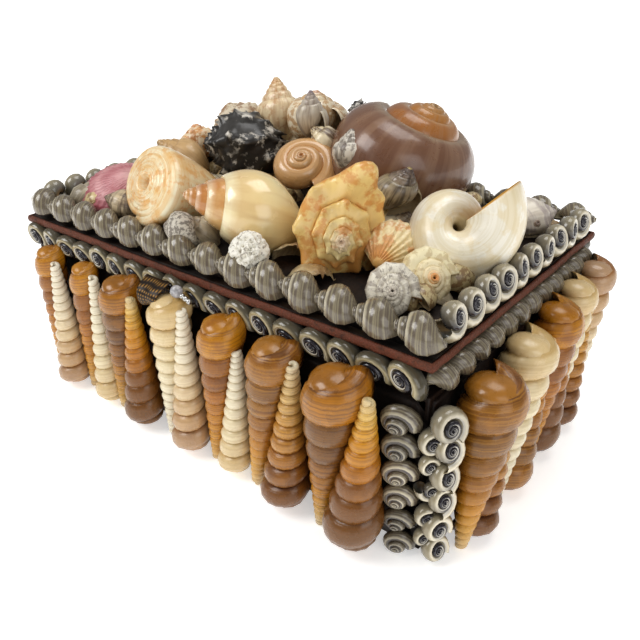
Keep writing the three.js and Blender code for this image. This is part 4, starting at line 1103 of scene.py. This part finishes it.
def heap_shells(settings):
    """Every shell of the heap by its node: form, axis, roll (none: mouth down) and finish."""
    conch, scallop, land = settings.conch_colour, settings.scallop_colour, settings.snail_colour
    whelk = dict(section=TALL_MOUTH, turns=6.2, growth=1.52, steps=40, sides=22)
    knobbly = dict(section=OPEN_MOUTH, turns=5.0, growth=1.62, steps=40, sides=24)
    grey_net = dict(
        along=[(0, "#8d6f6c"), (0.25, "#a9978c"), (0.6, "#cfc6b2"), (1, "#d8d0bb")], rough=0.4, bump=0.3,
        growth=("#5b463a", 9, 0.45), lines=("#6a5648", 11, 3, 0.4), mouth="#e9dcc4",
    )
    return {
        "cone_shell": (
            coil(CONE_MOUTH, 7.2, 1.21, 32, 26, 0.07, relief=rib_relief(0, 0, 16, 0.004, top=0.3, bottom=0.6)),
            (-0.24, -0.85, 0.42), None,
            dict(turns=7.2, along=[(0, "#e9d5b0"), (0.4, "#eadbb8"), (0.8, "#efe2bf"), (1, "#f1e6c6")],
                 growth=("#e0ac58", 7, 0.6), lines=("#d9a860", 14, 1.5, 0.5),
                 blotches=("#d9973c", 6, 0.35, 0.5), mouth="#f3ead6", rough=0.3)),
        "banded_snail": (
            coil(STEPPED_MOUTH, 5.6, 1.62, 40, 26, 0.08), (-0.62, -0.68, 0.3), None,
            dict(turns=5.6, along=[(0, "#b98d6a"), (0.25, "#c99a66"), (0.5, "#b06f3a"), (0.72, "#c98d55"),
                                   (0.84, "#ecd9a2"), (1, "#efe0b0")],
                 across=(0.35, [(0.1, "#f4ead0"), (0.17, "#f4ead0"), (0.22, "#c58a4c"), (0.3, "#dcae6a"),
                                (0.4, "#ead9a8"), (0.62, "#f2e6c2"), (0.72, "#dd9f3a")]),
                 growth=("#a8703c", 8, 0.3), mouth="#f6ecd2", rough=0.18, bump=0.12, coat=0.6)),
        "yellow_conch": (
            coil(CONCH_MOUTH, 5.6, 1.6, 64, 36, 0.08, relief=conch_relief), (0.72, -0.66, -0.02), 0.0,
            dict(turns=5.6, along=[(0, "#e9c6bb"), (0.3, "#ecd2b8"), (0.5, "#efd79a"), (0.75, conch),
                                   (1, conch)],
                 across=(0.45, [(0.05, "#f1e2ac"), (0.2, "#f2e2a6"), (0.3, "#dd9a33"), (0.45, "#ecd08a"),
                                (0.65, "#f3e6bf")]),
                 blotches=("#c9781f", 9, 0.45, 0.6), growth=("#8a5a28", 6, 0.25), mouth="#f2dcc0", rough=0.3,
                 coat=0.35)),
        "white_turban": (
            coil(ROUND_MOUTH, 3.7, 2.05, 56, 38, 0.1, recess=0.34,
                 relief=rib_relief(0, 0, 18, 0.008, top=0.02, bottom=0.9)),
            (-0.5, 0.6, -0.4), roll_towards((-0.5, 0.6, -0.4), (19, -7, 16)),
            dict(turns=3.7, along=[(0, "#e6dcc4"), (0.5, "#ece5d2"), (1, "#f0eadb")],
                 lines=("#d5c8a4", 26, 0.8, 0.5), blotches=("#dcc58e", 14, 0.5, 0.45), mouth="#cf9a3c",
                 rough=0.3)),
        "brown_snail": (
            coil(ROUND_MOUTH, 4.4, 1.78, 52, 30, 0.06), (0.32, 0.22, 0.9), 3.2,
            dict(turns=4.4, along=[(0, "#b08c58"), (0.45, "#b57c30"), (0.7, "#a86c26"), (0.79, "#86583a"),
                                   (0.86, land), (1, land)],
                 # below the pale line at the periphery the base is dark: partly its own darker colour, partly
                 # painted shade where it lies in shadow over the heap
                 across=(0.25, [(0.04, "#d9c4a0"), (0.08, "#8a5f40"), (0.3, "#7b5342"), (0.42, "#6b4a44"),
                               (0.5, "#e6d9bf"), (0.54, "#3c2a24"), (0.7, "#3c2a24")]),
                 growth=("#a88a70", 26, 0.3), mouth="#d9c9b6", rough=0.3, bump=0.3, coat=0.45)),
        "moon_snail": (
            coil(ROUND_MOUTH, 4.2, 1.95, 48, 26, 0.08), (0.35, -0.5, 0.76), None,
            dict(turns=4.2, along=[(0, "#9a6a44"), (0.3, "#c79f70"), (0.6, "#cfa673"), (1, "#cf9f63")],
                 across=(0.5, [(0.05, "#c9a57c"), (0.3, "#d2ab78"), (0.42, "#cf9440"), (0.6, "#b9741f")]),
                 lines=("#a9794a", 24, 1.2, 0.35), mouth="#4a2c18", rough=0.2, bump=0.1, coat=0.6)),
        "pink_scallop": (
            valve(24, 0.03), (-0.1, -0.5, 0.86), 3.6,
            dict(turns=1.0, along=[(0, "#d9b3a8"), (0.25, scallop), (0.45, "#b9787c"), (0.6, scallop),
                                   (0.8, "#a85a62"), (0.9, scallop), (1, "#e3c4bb")],
                 lines=("#8f3f48", 60, 5, 0.35), mouth="#ead2cc", rough=0.45)),
        "frog_shell": (
            coil(**knobbly, relief=knob_relief(9, 0.13, 0.2, 0.06,
                                               ((0.32, 0.09), (0.44, 0.08), (0.56, 0.06)), 2)),
            (0.62, -0.55, 0.42), 1.0,
            dict(turns=5.0, along=[(0, "#e58f4a"), (0.2, "#e8a868"), (0.45, "#ead9b4"), (1, "#e9deb8")],
                 blotches=("#b59a66", 3, 0.4, 0.5), mouth="#f2d9a8", rough=0.4, bump=0.3)),
        "drupe_shell": (
            coil(**knobbly, relief=knob_relief(10, 0.15, 0.2, 0.05,
                                               ((0.3, 0.13), (0.4, 0.12), (0.5, 0.1), (0.6, 0.08)), 3)),
            (0.5, -0.7, 0.5), 0.5,
            dict(turns=5.0, along=[(0, "#c9bfb0"), (0.4, "#d9d2c2"), (1, "#dcd5c4")],
                 growth=("#6e5d55", 20, 0.5), blotches=("#55453d", 2, 0.3, 0.55), mouth="#dca35c", rough=0.42,
                 bump=0.3)),
        "ribbed_shell": (
            valve(15, 0.07, dome=0.6), (0.5, -0.7, 0.5), 1.5,
            dict(turns=1.0, along=[(0, "#e0a860"), (0.3, "#e6bd78"), (0.6, "#efdcae"), (1, "#f1e2ba")],
                 blotches=("#cf7f33", 6, 0.45, 0.6), lines=("#cfae72", 40, 3, 0.4), mouth="#f3e6c6",
                 rough=0.4)),
        "black_murex": (
            coil(TALL_MOUTH, 5.2, 1.6, 64, 40, 0.08, relief=frill_relief(7, 0.42, 8)),
            (-0.8, -0.35, -0.05), None,
            dict(turns=5.2, along=[(0, "#8d8680"), (0.4, "#c9c2b6"), (1, "#d8d2c6")],
                 growth=("#17110f", 7, 0.8), blotches=("#120e0d", 8, 0.75, 0.95), mouth="#e9e2d6", rough=0.34,
                 bump=0.5)),
        "back_whelk": (
            coil(**whelk, relief=rib_relief(11, 0.08, 9, 0.02)), (-1, 0.1, 0.05), None,
            dict(turns=6.2, along=[(0, "#bda88c"), (0.5, "#d7c8a8"), (1, "#e2d6ba")],
                 growth=("#8f7452", 8, 0.4), mouth="#ead9c0", rough=0.42, bump=0.4)),
        "back_cone": (
            coil(CONE_MOUTH, 6.2, 1.24, 28, 20, 0.07), (-0.9, 0.3, 0.1), None,
            dict(turns=6.2, along=[(0, "#d9c9a8"), (1, "#e4d6b4")], blotches=("#9c6b3a", 7, 0.5, 0.6),
                 rough=0.32)),
        "crusted_conch": (
            coil(**knobbly, relief=rough_relief(0.07, 5, 8, 0.1)), (-0.4, -0.1, 0.7), None,
            dict(turns=5.0, along=[(0, "#b9a58a"), (0.5, "#cfc2aa"), (1, "#d6cbb5")],
                 blotches=("#8a5f3c", 5, 0.5, 0.7), mouth="#e3bfa0", rough=0.6, bump=0.7, coat=0.0)),
        "orange_drupe": (
            coil(**knobbly, relief=rough_relief(0.05, 6, 7, 0.12)), (-0.3, 0.1, 0.9), None,
            dict(turns=5.0, along=[(0, "#d9a070"), (0.5, "#cf8a4c"), (1, "#dba668")],
                 blotches=("#efe3c6", 4, 0.5, 0.7), growth=("#7a4526", 8, 0.5), mouth="#e8b98a", rough=0.42,
                 bump=0.4)),
        "tan_whelk": (
            coil(**whelk, relief=rib_relief(12, 0.07, 8, 0.02)), (-0.6, -0.3, 0.45), None,
            dict(turns=6.2, along=[(0, "#c9b08a"), (0.5, "#bd9a68"), (1, "#caa878")],
                 growth=("#7a5632", 9, 0.5), mouth="#ecdabc", rough=0.38, bump=0.3)),
        "grey_spire": (
            coil(**whelk, relief=rib_relief(12, 0.08, 7, 0.02)), (-0.5, -0.1, 0.85), None,
            dict(turns=6.2, **grey_net)),
        "spired_strombus": (
            coil(TALL_MOUTH, 7.0, 1.42, 40, 22, 0.1, relief=rib_relief(13, 0.07, 6, 0.015)),
            (-0.15, 0.1, 0.98), 1.4,
            dict(turns=7.0, along=[(0, "#e2cfae"), (0.4, "#d3b183"), (0.8, "#ead9b8"), (1, "#e3cfa8")],
                 growth=("#a8754a", 13, 0.5), blotches=("#b98658", 4, 0.4, 0.5), mouth="#5d3a3c", rough=0.3)),
        "speckled_globe": (
            coil(ROUND_MOUTH, 4.6, 1.75, 40, 22, 0.08), (0.05, 0.06, 0.99), 0.0,
            dict(turns=4.6, along=[(0, "#cf9f98"), (0.2, "#d9b8a0"), (0.5, "#e9dcc0"), (1, "#ece0c6")],
                 blotches=("#b98d58", 4, 0.55, 0.75), growth=("#c9a878", 14, 0.3), mouth="#f0e4cc",
                 rough=0.25)),
        "grey_nassa": (
            coil(**whelk, relief=rib_relief(13, 0.08, 8, 0.02)), (0.02, 0, 1), 0.0,
            dict(turns=6.2, along=[(0, "#77657a"), (0.4, "#a3968f"), (1, "#cdc3ae")],
                 growth=("#6b5248", 13, 0.5), mouth="#e4d8c2", rough=0.35, bump=0.2)),
        "painted_nassa": (
            coil(**whelk, relief=rib_relief(10, 0.06, 6, 0.02)), (-0.6, -0.2, 0.5), None,
            dict(turns=6.2, along=[(0, "#8a6a4a"), (0.4, "#d9c7a2"), (1, "#e6d9ba")],
                 growth=("#4e3020", 10, 0.85), mouth="#eadbc0", rough=0.3, bump=0.2)),
        "branched_murex": (
            coil(OPEN_MOUTH, 4.4, 1.6, 44, 28, 0.1, relief=frill_relief(6, 0.6, 4)), (0.6, 0.2, 0.5), None,
            dict(turns=4.4, along=[(0, "#cfc9bf"), (1, "#d6d0c6")], growth=("#1b1412", 6, 0.9),
                 blotches=("#1b1412", 3, 0.6, 0.9), mouth="#e6ded2", rough=0.45, bump=0.3)),
        "dark_nassa": (
            coil(**whelk, relief=rib_relief(14, 0.07, 9, 0.025)), (0.35, 0.1, 0.82), 0.6,
            dict(turns=6.2, along=[(0, "#e6cf86"), (0.12, "#e0c47a"), (0.2, "#4a342c"), (0.5, "#6f5c50"),
                                   (0.8, "#a3947c"), (1, "#c9b98e")],
                 across=(0.4, [(0.1, "#2c2220"), (0.2, "#8f8074"), (0.3, "#c9bea4"), (0.6, "#d9c98e")]),
                 growth=("#2e2220", 14, 0.7), mouth="#e2d3b2", rough=0.3, bump=0.25)),
        "net_whelk": (
            coil(**whelk, relief=rib_relief(14, 0.09, 9, 0.03)), (-0.02, 0.1, 0.98), 0.4,
            dict(turns=6.2, along=[(0, "#8a7a78"), (0.3, "#d6cfc2"), (1, "#dfd8ca")],
                 growth=("#443630", 9, 0.7), blotches=("#54443c", 3, 0.4, 0.6), mouth="#e8dfce", rough=0.38,
                 bump=0.3)),
        "crusted_whelk": (
            coil(**knobbly, relief=rough_relief(0.06, 9, 9, 0.08, grain=12)), (-0.85, -0.5, 0.1), None,
            dict(turns=5.0, along=[(0, "#8a8078"), (0.5, "#b9b1a4"), (1, "#cbc4b6")],
                 blotches=("#4c4038", 2, 0.5, 0.7), mouth="#d9d0c0", rough=0.6, bump=0.5, coat=0.0)),
        "coral_ball": (
            coral(), (0.3, -0.6, 0.6), 0.0,
            dict(turns=1.0, along=[(0, "#ece8dc"), (1, "#ece8dc")], blotches=("#6e5c4c", 2, 0.25, 0.6),
                 rough=0.75, bump=0.4, coat=0.0)),
        "net_nassa": (
            coil(**whelk, relief=rib_relief(15, 0.07, 9, 0.02)), (-0.9, -0.3, 0.2), None,
            dict(turns=6.2, along=[(0, "#5d4640"), (0.4, "#a58f78"), (1, "#cbb999")],
                 lines=("#463226", 10, 2, 0.75), growth=("#4f3a2c", 15, 0.55), mouth="#e6d6b6", rough=0.35,
                 bump=0.3)),
        "right_whelk": (
            coil(**whelk, relief=rib_relief(9, 0.14, 8, 0.02)), (0.5, 0.85, 0.1), None,
            dict(turns=6.2, along=[(0, "#9c8c8c"), (0.5, "#cfc6ba"), (1, "#ddd4c4")],
                 lines=("#6f5a68", 8, 2, 0.5), growth=("#8d7c6c", 9, 0.35), mouth="#e6d0c0", rough=0.4,
                 bump=0.3)),
    }


# How far two shells of the heap settle away from their solids, in mm: they lean on their neighbours.
NUDGES = {"pink_scallop": (0, 0, 5), "yellow_conch": (3, -5, -3)}
FULLNESS = {"pink_scallop": 1.3}  # how much of its solid's box a shell fills, where it isn't 1.06

# The small shells strewn between the large ones: the first stay near the lid's edge, the others lie further in.
EDGE_FILLERS = 58
FILLER_BANDS = ((17, 38), (38, 80))  # mm in from the lid's edge


def filler_forms(count, seed):
    """Small shells of three kinds, strewn over the glue bed between the large ones."""
    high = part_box("lid_board")[1]
    rng = np.random.default_rng(seed)
    kinds = [
        coil(TALL_MOUTH, 5.4, 1.5, 17, 8, 0.1, relief=rib_relief(8, 0.08)),
        coil(ROUND_MOUTH, 4.0, 1.8, 12, 9, 0.1),
        valve(9, 0.07, rows=9, fine=3),
    ]
    kinds = [unit_shell(kinds[0], 3.2), unit_shell(kinds[1], 1.9), unit_shell(kinds[2], 0.8)]
    forms = []
    for i in range(count):
        kind = i % 3
        size = rng.uniform(6.5, 9.5) * MM * (1.3 if kind == 2 else 1)
        round_edge, inset = rng.uniform(0, 4), rng.uniform(*FILLER_BANDS[i >= EDGE_FILLERS]) * MM
        side, share = int(round_edge), 2 * (round_edge % 1) - 1
        x, y = high.x - inset, high.y - inset
        place = [(share * x, -y), (x, share * y), (share * x, y), (-x, share * y)][side]
        spot = Vector((*place, high.z + rng.uniform(6, 11) * MM))
        lean = Vector((rng.uniform(-1, 1), rng.uniform(-1, 1), rng.uniform(0.2, 1.2)))
        forms.append(kinds[kind].scaled(size, size, size).tinted(rng.uniform()).in_slot(kind)
                     .moved(Matrix.Translation(spot) @ pointing(lean, rng.uniform(0, TAU))))
    return merged(forms)


# ---- operators --------------------------------------------------------------------------------
class SHELLBOX_OT_case(bpy.types.Operator):
    """Dress the case and the lid, with the glue that the shells sit in and the leather strip; the boards and glue
    are dark partly as painted shade between the shells
    """

    bl_idname = "shellbox.case"
    bl_label = "Case and lid"

    def execute(self, context):
        settings = context.scene.shell_box_case
        board = board_material(settings.glue_and_shade_colour)
        for name, piece_name in (("box_case", "case"), ("lid_board", "lid")):
            bevelled(finish_piece(piece_name, node_copy(name), [board], [name]), 0.8 * MM)
        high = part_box("lid_board")[1]
        margin, lump = 5 * MM, 1.8 * MM
        # the glue bed under the heap: a dark layer where the gaps between the shells lie in shade, partly glue
        # and partly painted shade
        bed = lumpy_slab(2 * (high.x - margin), 2 * (high.y - margin), settings.glue_height, lump, 2, 90)
        bed = bed.moved(Matrix.Translation((0, 0, high.z)))
        finish_piece("lid_glue", to_mesh("lid_glue", bed), [board], [])
        # glue on the case's faces behind the turrets, dark partly as glue and partly as painted shade between the
        # turrets
        walls, glue_top = [], 82 * MM
        for i, (name, (along, out)) in enumerate(FACES.items()):
            reach, half = face_reach(name)
            slab = lumpy_slab(2 * half - 4 * MM, glue_top - 2 * MM, 1.0 * MM, 0.7 * MM, 20 + i, 60)
            turn = Matrix((along, out.cross(along), out)).transposed().to_4x4()
            walls.append(slab.moved(Matrix.Translation(out * reach + Vector((0, 0, glue_top / 2 + MM))) @ turn))
        finish_piece("wall_glue", to_mesh("wall_glue", merged(walls)), [board], [])
        finish_piece("leather_edging", to_mesh("leather_edging", edging_form(settings.edging_wave)),
                     [leather_material(settings.leather_colour)], ["lid_edging"])
        return {"FINISHED"}


class SHELLBOX_OT_tab(bpy.types.Operator):
    """Make the ribbon tab and its beads"""

    bl_idname = "shellbox.tab"
    bl_label = "Ribbon tab"

    def execute(self, context):
        form, width, length = ribbon_form()
        ribbon = finish_piece("ribbon", to_mesh("ribbon", form),
                              [ribbon_material(context.scene.shell_box_case.ribbon_colour)], ["ribbon_tab"])
        cloth = ribbon.modifiers.new("cloth", "SOLIDIFY")
        cloth.thickness, cloth.offset = 0.4 * MM, 0
        low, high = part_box("tab_beads")
        middle = (low + high) / 2
        radius, seed = 3.3 * MM, 1.5 * MM
        first = Vector((low.x + radius, middle.y, high.z - radius))
        beads = [ball_form(radius, 9, 12).moved(Matrix.Translation(first))]
        for i in range(3):
            along = radius + seed * (0.6 + 1.6 * i)
            seat = first + Vector((along * 0.94, 0, -along * 0.34))
            beads.append(ball_form(seed, 11, 16).moved(Matrix.Translation(seat)).in_slot(1))
        piece = finish_piece("beads", to_mesh("beads", merged(beads)), [bead_material(), silver_material()],
                             ["tab_beads"])
        faces = piece.data.polygons  # smooth seed beads, and flat facets on the cut bead
        faces.foreach_set("use_smooth", np.array([face.material_index == 1 for face in faces]))
        return {"FINISHED"}


class SHELLBOX_OT_turrets(bpy.types.Operator):
    """Grow the turret shells round the case"""

    bl_idname = "shellbox.turrets"
    bl_label = "Turret shells"

    def execute(self, context):
        settings = context.scene.shell_box_turrets
        tree = turret_tree()
        kinds = list(TURRET_KINDS)
        finishes = [turret_material(kind) for kind in kinds]
        for i, spec in enumerate(FRONT_TURRETS):
            name = f"front_turret_{i + 1:02d}"
            finish = finishes[kinds.index(spec[5])]
            form = laid_turret(tree, "front", spec, settings, finish, 1.0, 100 + i)
            finish_piece("turret_shell_" + str(i + 1), to_mesh(name, form), [finish], [name])
        hidden = 0.7  # share of the faces that a turret on a hidden side has
        for face, specs, share in (("right", END_TURRETS, 1.0), ("left", END_TURRETS, hidden),
                                   ("back", BACK_TURRETS, hidden)):
            row = []
            for i, spec in enumerate(specs):
                slot, seed = kinds.index(spec[5]), 300 + 50 * len(face) + i
                row.append(laid_turret(tree, face, spec, settings, finishes[slot], share, seed).in_slot(slot))
            finish_piece(face + "_turret_shells", to_mesh(face, merged(row)), finishes, [face + "_turrets"])
        return {"FINISHED"}


class SHELLBOX_OT_courses(bpy.types.Operator):
    """Lay the courses of small shells on the lid's edge, under it and up the corners"""

    bl_idname = "shellbox.courses"
    bl_label = "Small shells"

    def execute(self, context):
        settings = context.scene.shell_box_courses
        tree, shells = course_tree(), small_shells()
        body, spire = tuple(settings.body_colour), tuple(settings.spire_colour)
        barrel = periwinkle_material("periwinkle_shell", body, spire)
        eye = eye_material("periwinkle_eye", tuple(settings.eye_colour), tuple(settings.rim_colour), "#e6dcc4")
        # the shells under the lid's front and back take a darker copy of the eye finish: painted shade for the
        # shadow beneath the leather strip
        rim = eye_material("periwinkle_eye_painted_shade", tuple(settings.eye_colour), "#5f5846", "#b5a886")
        for i, name in enumerate(FACES):
            long = name in ("front", "back")
            for place, lay, finish, seed in (("lid", lid_course, barrel if long else eye, 31 + i),
                                             ("rim", rim_course, rim if long else barrel, 61 + i)):
                form = lay(tree, shells, name, settings, finish, seed)
                finish_piece(f"{place}_course_{name}", to_mesh(name, form), [finish],
                             [f"{place}_snails_{name}"])
        columns = corner_form(shells, 9)
        for name, turn in (("front", 0), ("back", math.pi)):
            form = columns.moved(Matrix.Rotation(turn, 4, "Z"))
            finish_piece("corner_columns_" + name, to_mesh(name, form), [barrel, eye],
                         ["corner_snails_" + name])
        return {"FINISHED"}


class SHELLBOX_OT_heap(bpy.types.Operator):
    """Lay the heap of large shells on the lid, and the small ones between them"""

    bl_idname = "shellbox.heap"
    bl_label = "Heap of shells"

    def execute(self, context):
        settings = context.scene.shell_box_heap
        for name, (form, axis, roll, finish) in heap_shells(settings).items():
            roll = roll_towards(axis, (0.1, 0.3, -1)) if roll is None else roll
            form = fitted(form, name, axis, roll, full=FULLNESS.get(name, 1.06))
            form = form.moved(Matrix.Translation(Vector(NUDGES.get(name, (0, 0, 0))) * MM))
            finish_piece(name + "_shell", to_mesh(name, form), [shell_material(name, **finish)], [name])
        finishes = [
            shell_material("small_whelk", 5.4, [(0, "#7d6a60"), (0.5, "#b3a38c"), (1, "#cfc3a8")],
                           growth=("#5a4638", 11, 0.5), shade=0.3),
            shell_material("small_top_shell", 4.0, [(0, "#b98f5c"), (0.5, "#cdb27e"), (1, "#d9c79a")],
                           blotches=("#7a4f2c", 3, 0.5, 0.7), shade=0.3),
            shell_material("small_cockle", 1.0, [(0, "#b08a5c"), (0.5, "#cbb488"), (1, "#d9c9a4")],
                           lines=("#8a6a4a", 30, 3, 0.4), shade=0.2),
        ]
        finish_piece("filler_shells", to_mesh("filler_shells", filler_forms(settings.fillers, 5)), finishes, [])
        return {"FINISHED"}


class SHELLBOX_OT_stage(bpy.types.Operator):
    """Set the white floor, the soft studio light and the camera"""

    bl_idname = "shellbox.stage"
    bl_label = "Stage"

    def execute(self, context):
        floor = bpy.data.meshes.new("floor")
        floor.from_pydata([(-20, -20, 0), (20, -20, 0), (20, 20, 0), (-20, 20, 0)], [], [(0, 1, 2, 3)])
        floor.materials.append(floor_material())
        sweep = bpy.data.objects.new("floor", floor)
        context.scene.collection.objects.link(sweep)
        for name, place, size, power in (
            ("key", (-0.9, -1.1, 1.5), 1.0, 16),
            ("fill", (1.6, -0.7, 0.9), 1.2, 7),
            ("top", (0.1, 0.5, 1.7), 1.0, 9),
        ):
            light = bpy.data.lights.new(name, "AREA")
            light.size, light.energy = size, power
            lamp = bpy.data.objects.new(name, light)
            lamp.location = place
            lamp.rotation_euler = (Vector((0, 0, 0.08)) - Vector(place)).to_track_quat("-Z", "Y").to_euler()
            context.scene.collection.objects.link(lamp)
        world = bpy.data.worlds.new("studio")
        context.scene.world = world
        world.use_nodes = True
        world.node_tree.nodes["Background"].inputs["Color"].default_value = (1, 1, 1, 1)
        world.node_tree.nodes["Background"].inputs["Strength"].default_value = 0.3
        context.scene.view_settings.view_transform = "Standard"
        context.scene.view_settings.look = "Medium High Contrast"
        lens = bpy.data.cameras.new("camera")
        lens.lens, lens.sensor_width, lens.clip_start = 39.4, 36, 0.01
        camera = bpy.data.objects.new("camera", lens)
        azimuth, elevation, roll = math.radians(38.83), math.radians(28.57), math.radians(-0.76)
        aim = Matrix.Rotation(azimuth, 4, "Z") @ Matrix.Rotation(math.pi / 2 - elevation, 4, "X")
        camera.matrix_world = Matrix.Translation((0.2515, -0.2942, 0.248)) @ aim @ Matrix.Rotation(roll, 4, "Z")
        context.scene.collection.objects.link(camera)
        context.scene.camera = camera
        return {"FINISHED"}


class SHELLBOX_PT_panel(bpy.types.Panel):
    """The steps of the shell box, in order"""

    bl_idname = "SHELLBOX_PT_panel"
    bl_label = "Shell Box"
    bl_space_type = "VIEW_3D"
    bl_region_type = "UI"
    bl_category = "Shell Box"

    def draw(self, context):
        for settings in SETTINGS:
            group = getattr(context.scene, settings)
            for name in group.bl_rna.properties.keys():
                if name not in ("rna_type", "name"):
                    self.layout.prop(group, name)
        for operator in OPERATORS:
            self.layout.operator(operator.bl_idname)


SETTINGS = {
    "shell_box_case": ShellBoxCaseSettings,
    "shell_box_turrets": ShellBoxTurretSettings,
    "shell_box_courses": ShellBoxCourseSettings,
    "shell_box_heap": ShellBoxHeapSettings,
}
OPERATORS = (
    SHELLBOX_OT_case, SHELLBOX_OT_tab, SHELLBOX_OT_turrets, SHELLBOX_OT_courses, SHELLBOX_OT_heap,
    SHELLBOX_OT_stage,
)


def register():
    for group in (*SETTINGS.values(), *OPERATORS, SHELLBOX_PT_panel):
        bpy.utils.register_class(group)
    for name, group in SETTINGS.items():
        setattr(bpy.types.Scene, name, bpy.props.PointerProperty(type=group))


def unregister():
    for name in SETTINGS:
        delattr(bpy.types.Scene, name)
    for group in reversed((*SETTINGS.values(), *OPERATORS, SHELLBOX_PT_panel)):
        bpy.utils.unregister_class(group)


def main():
    register()
    bpy.ops.shellbox.case()
    bpy.ops.shellbox.tab()
    bpy.ops.shellbox.turrets()
    bpy.ops.shellbox.courses()
    bpy.ops.shellbox.heap()
    bpy.ops.shellbox.stage()


if __name__ == "__main__":
    main()
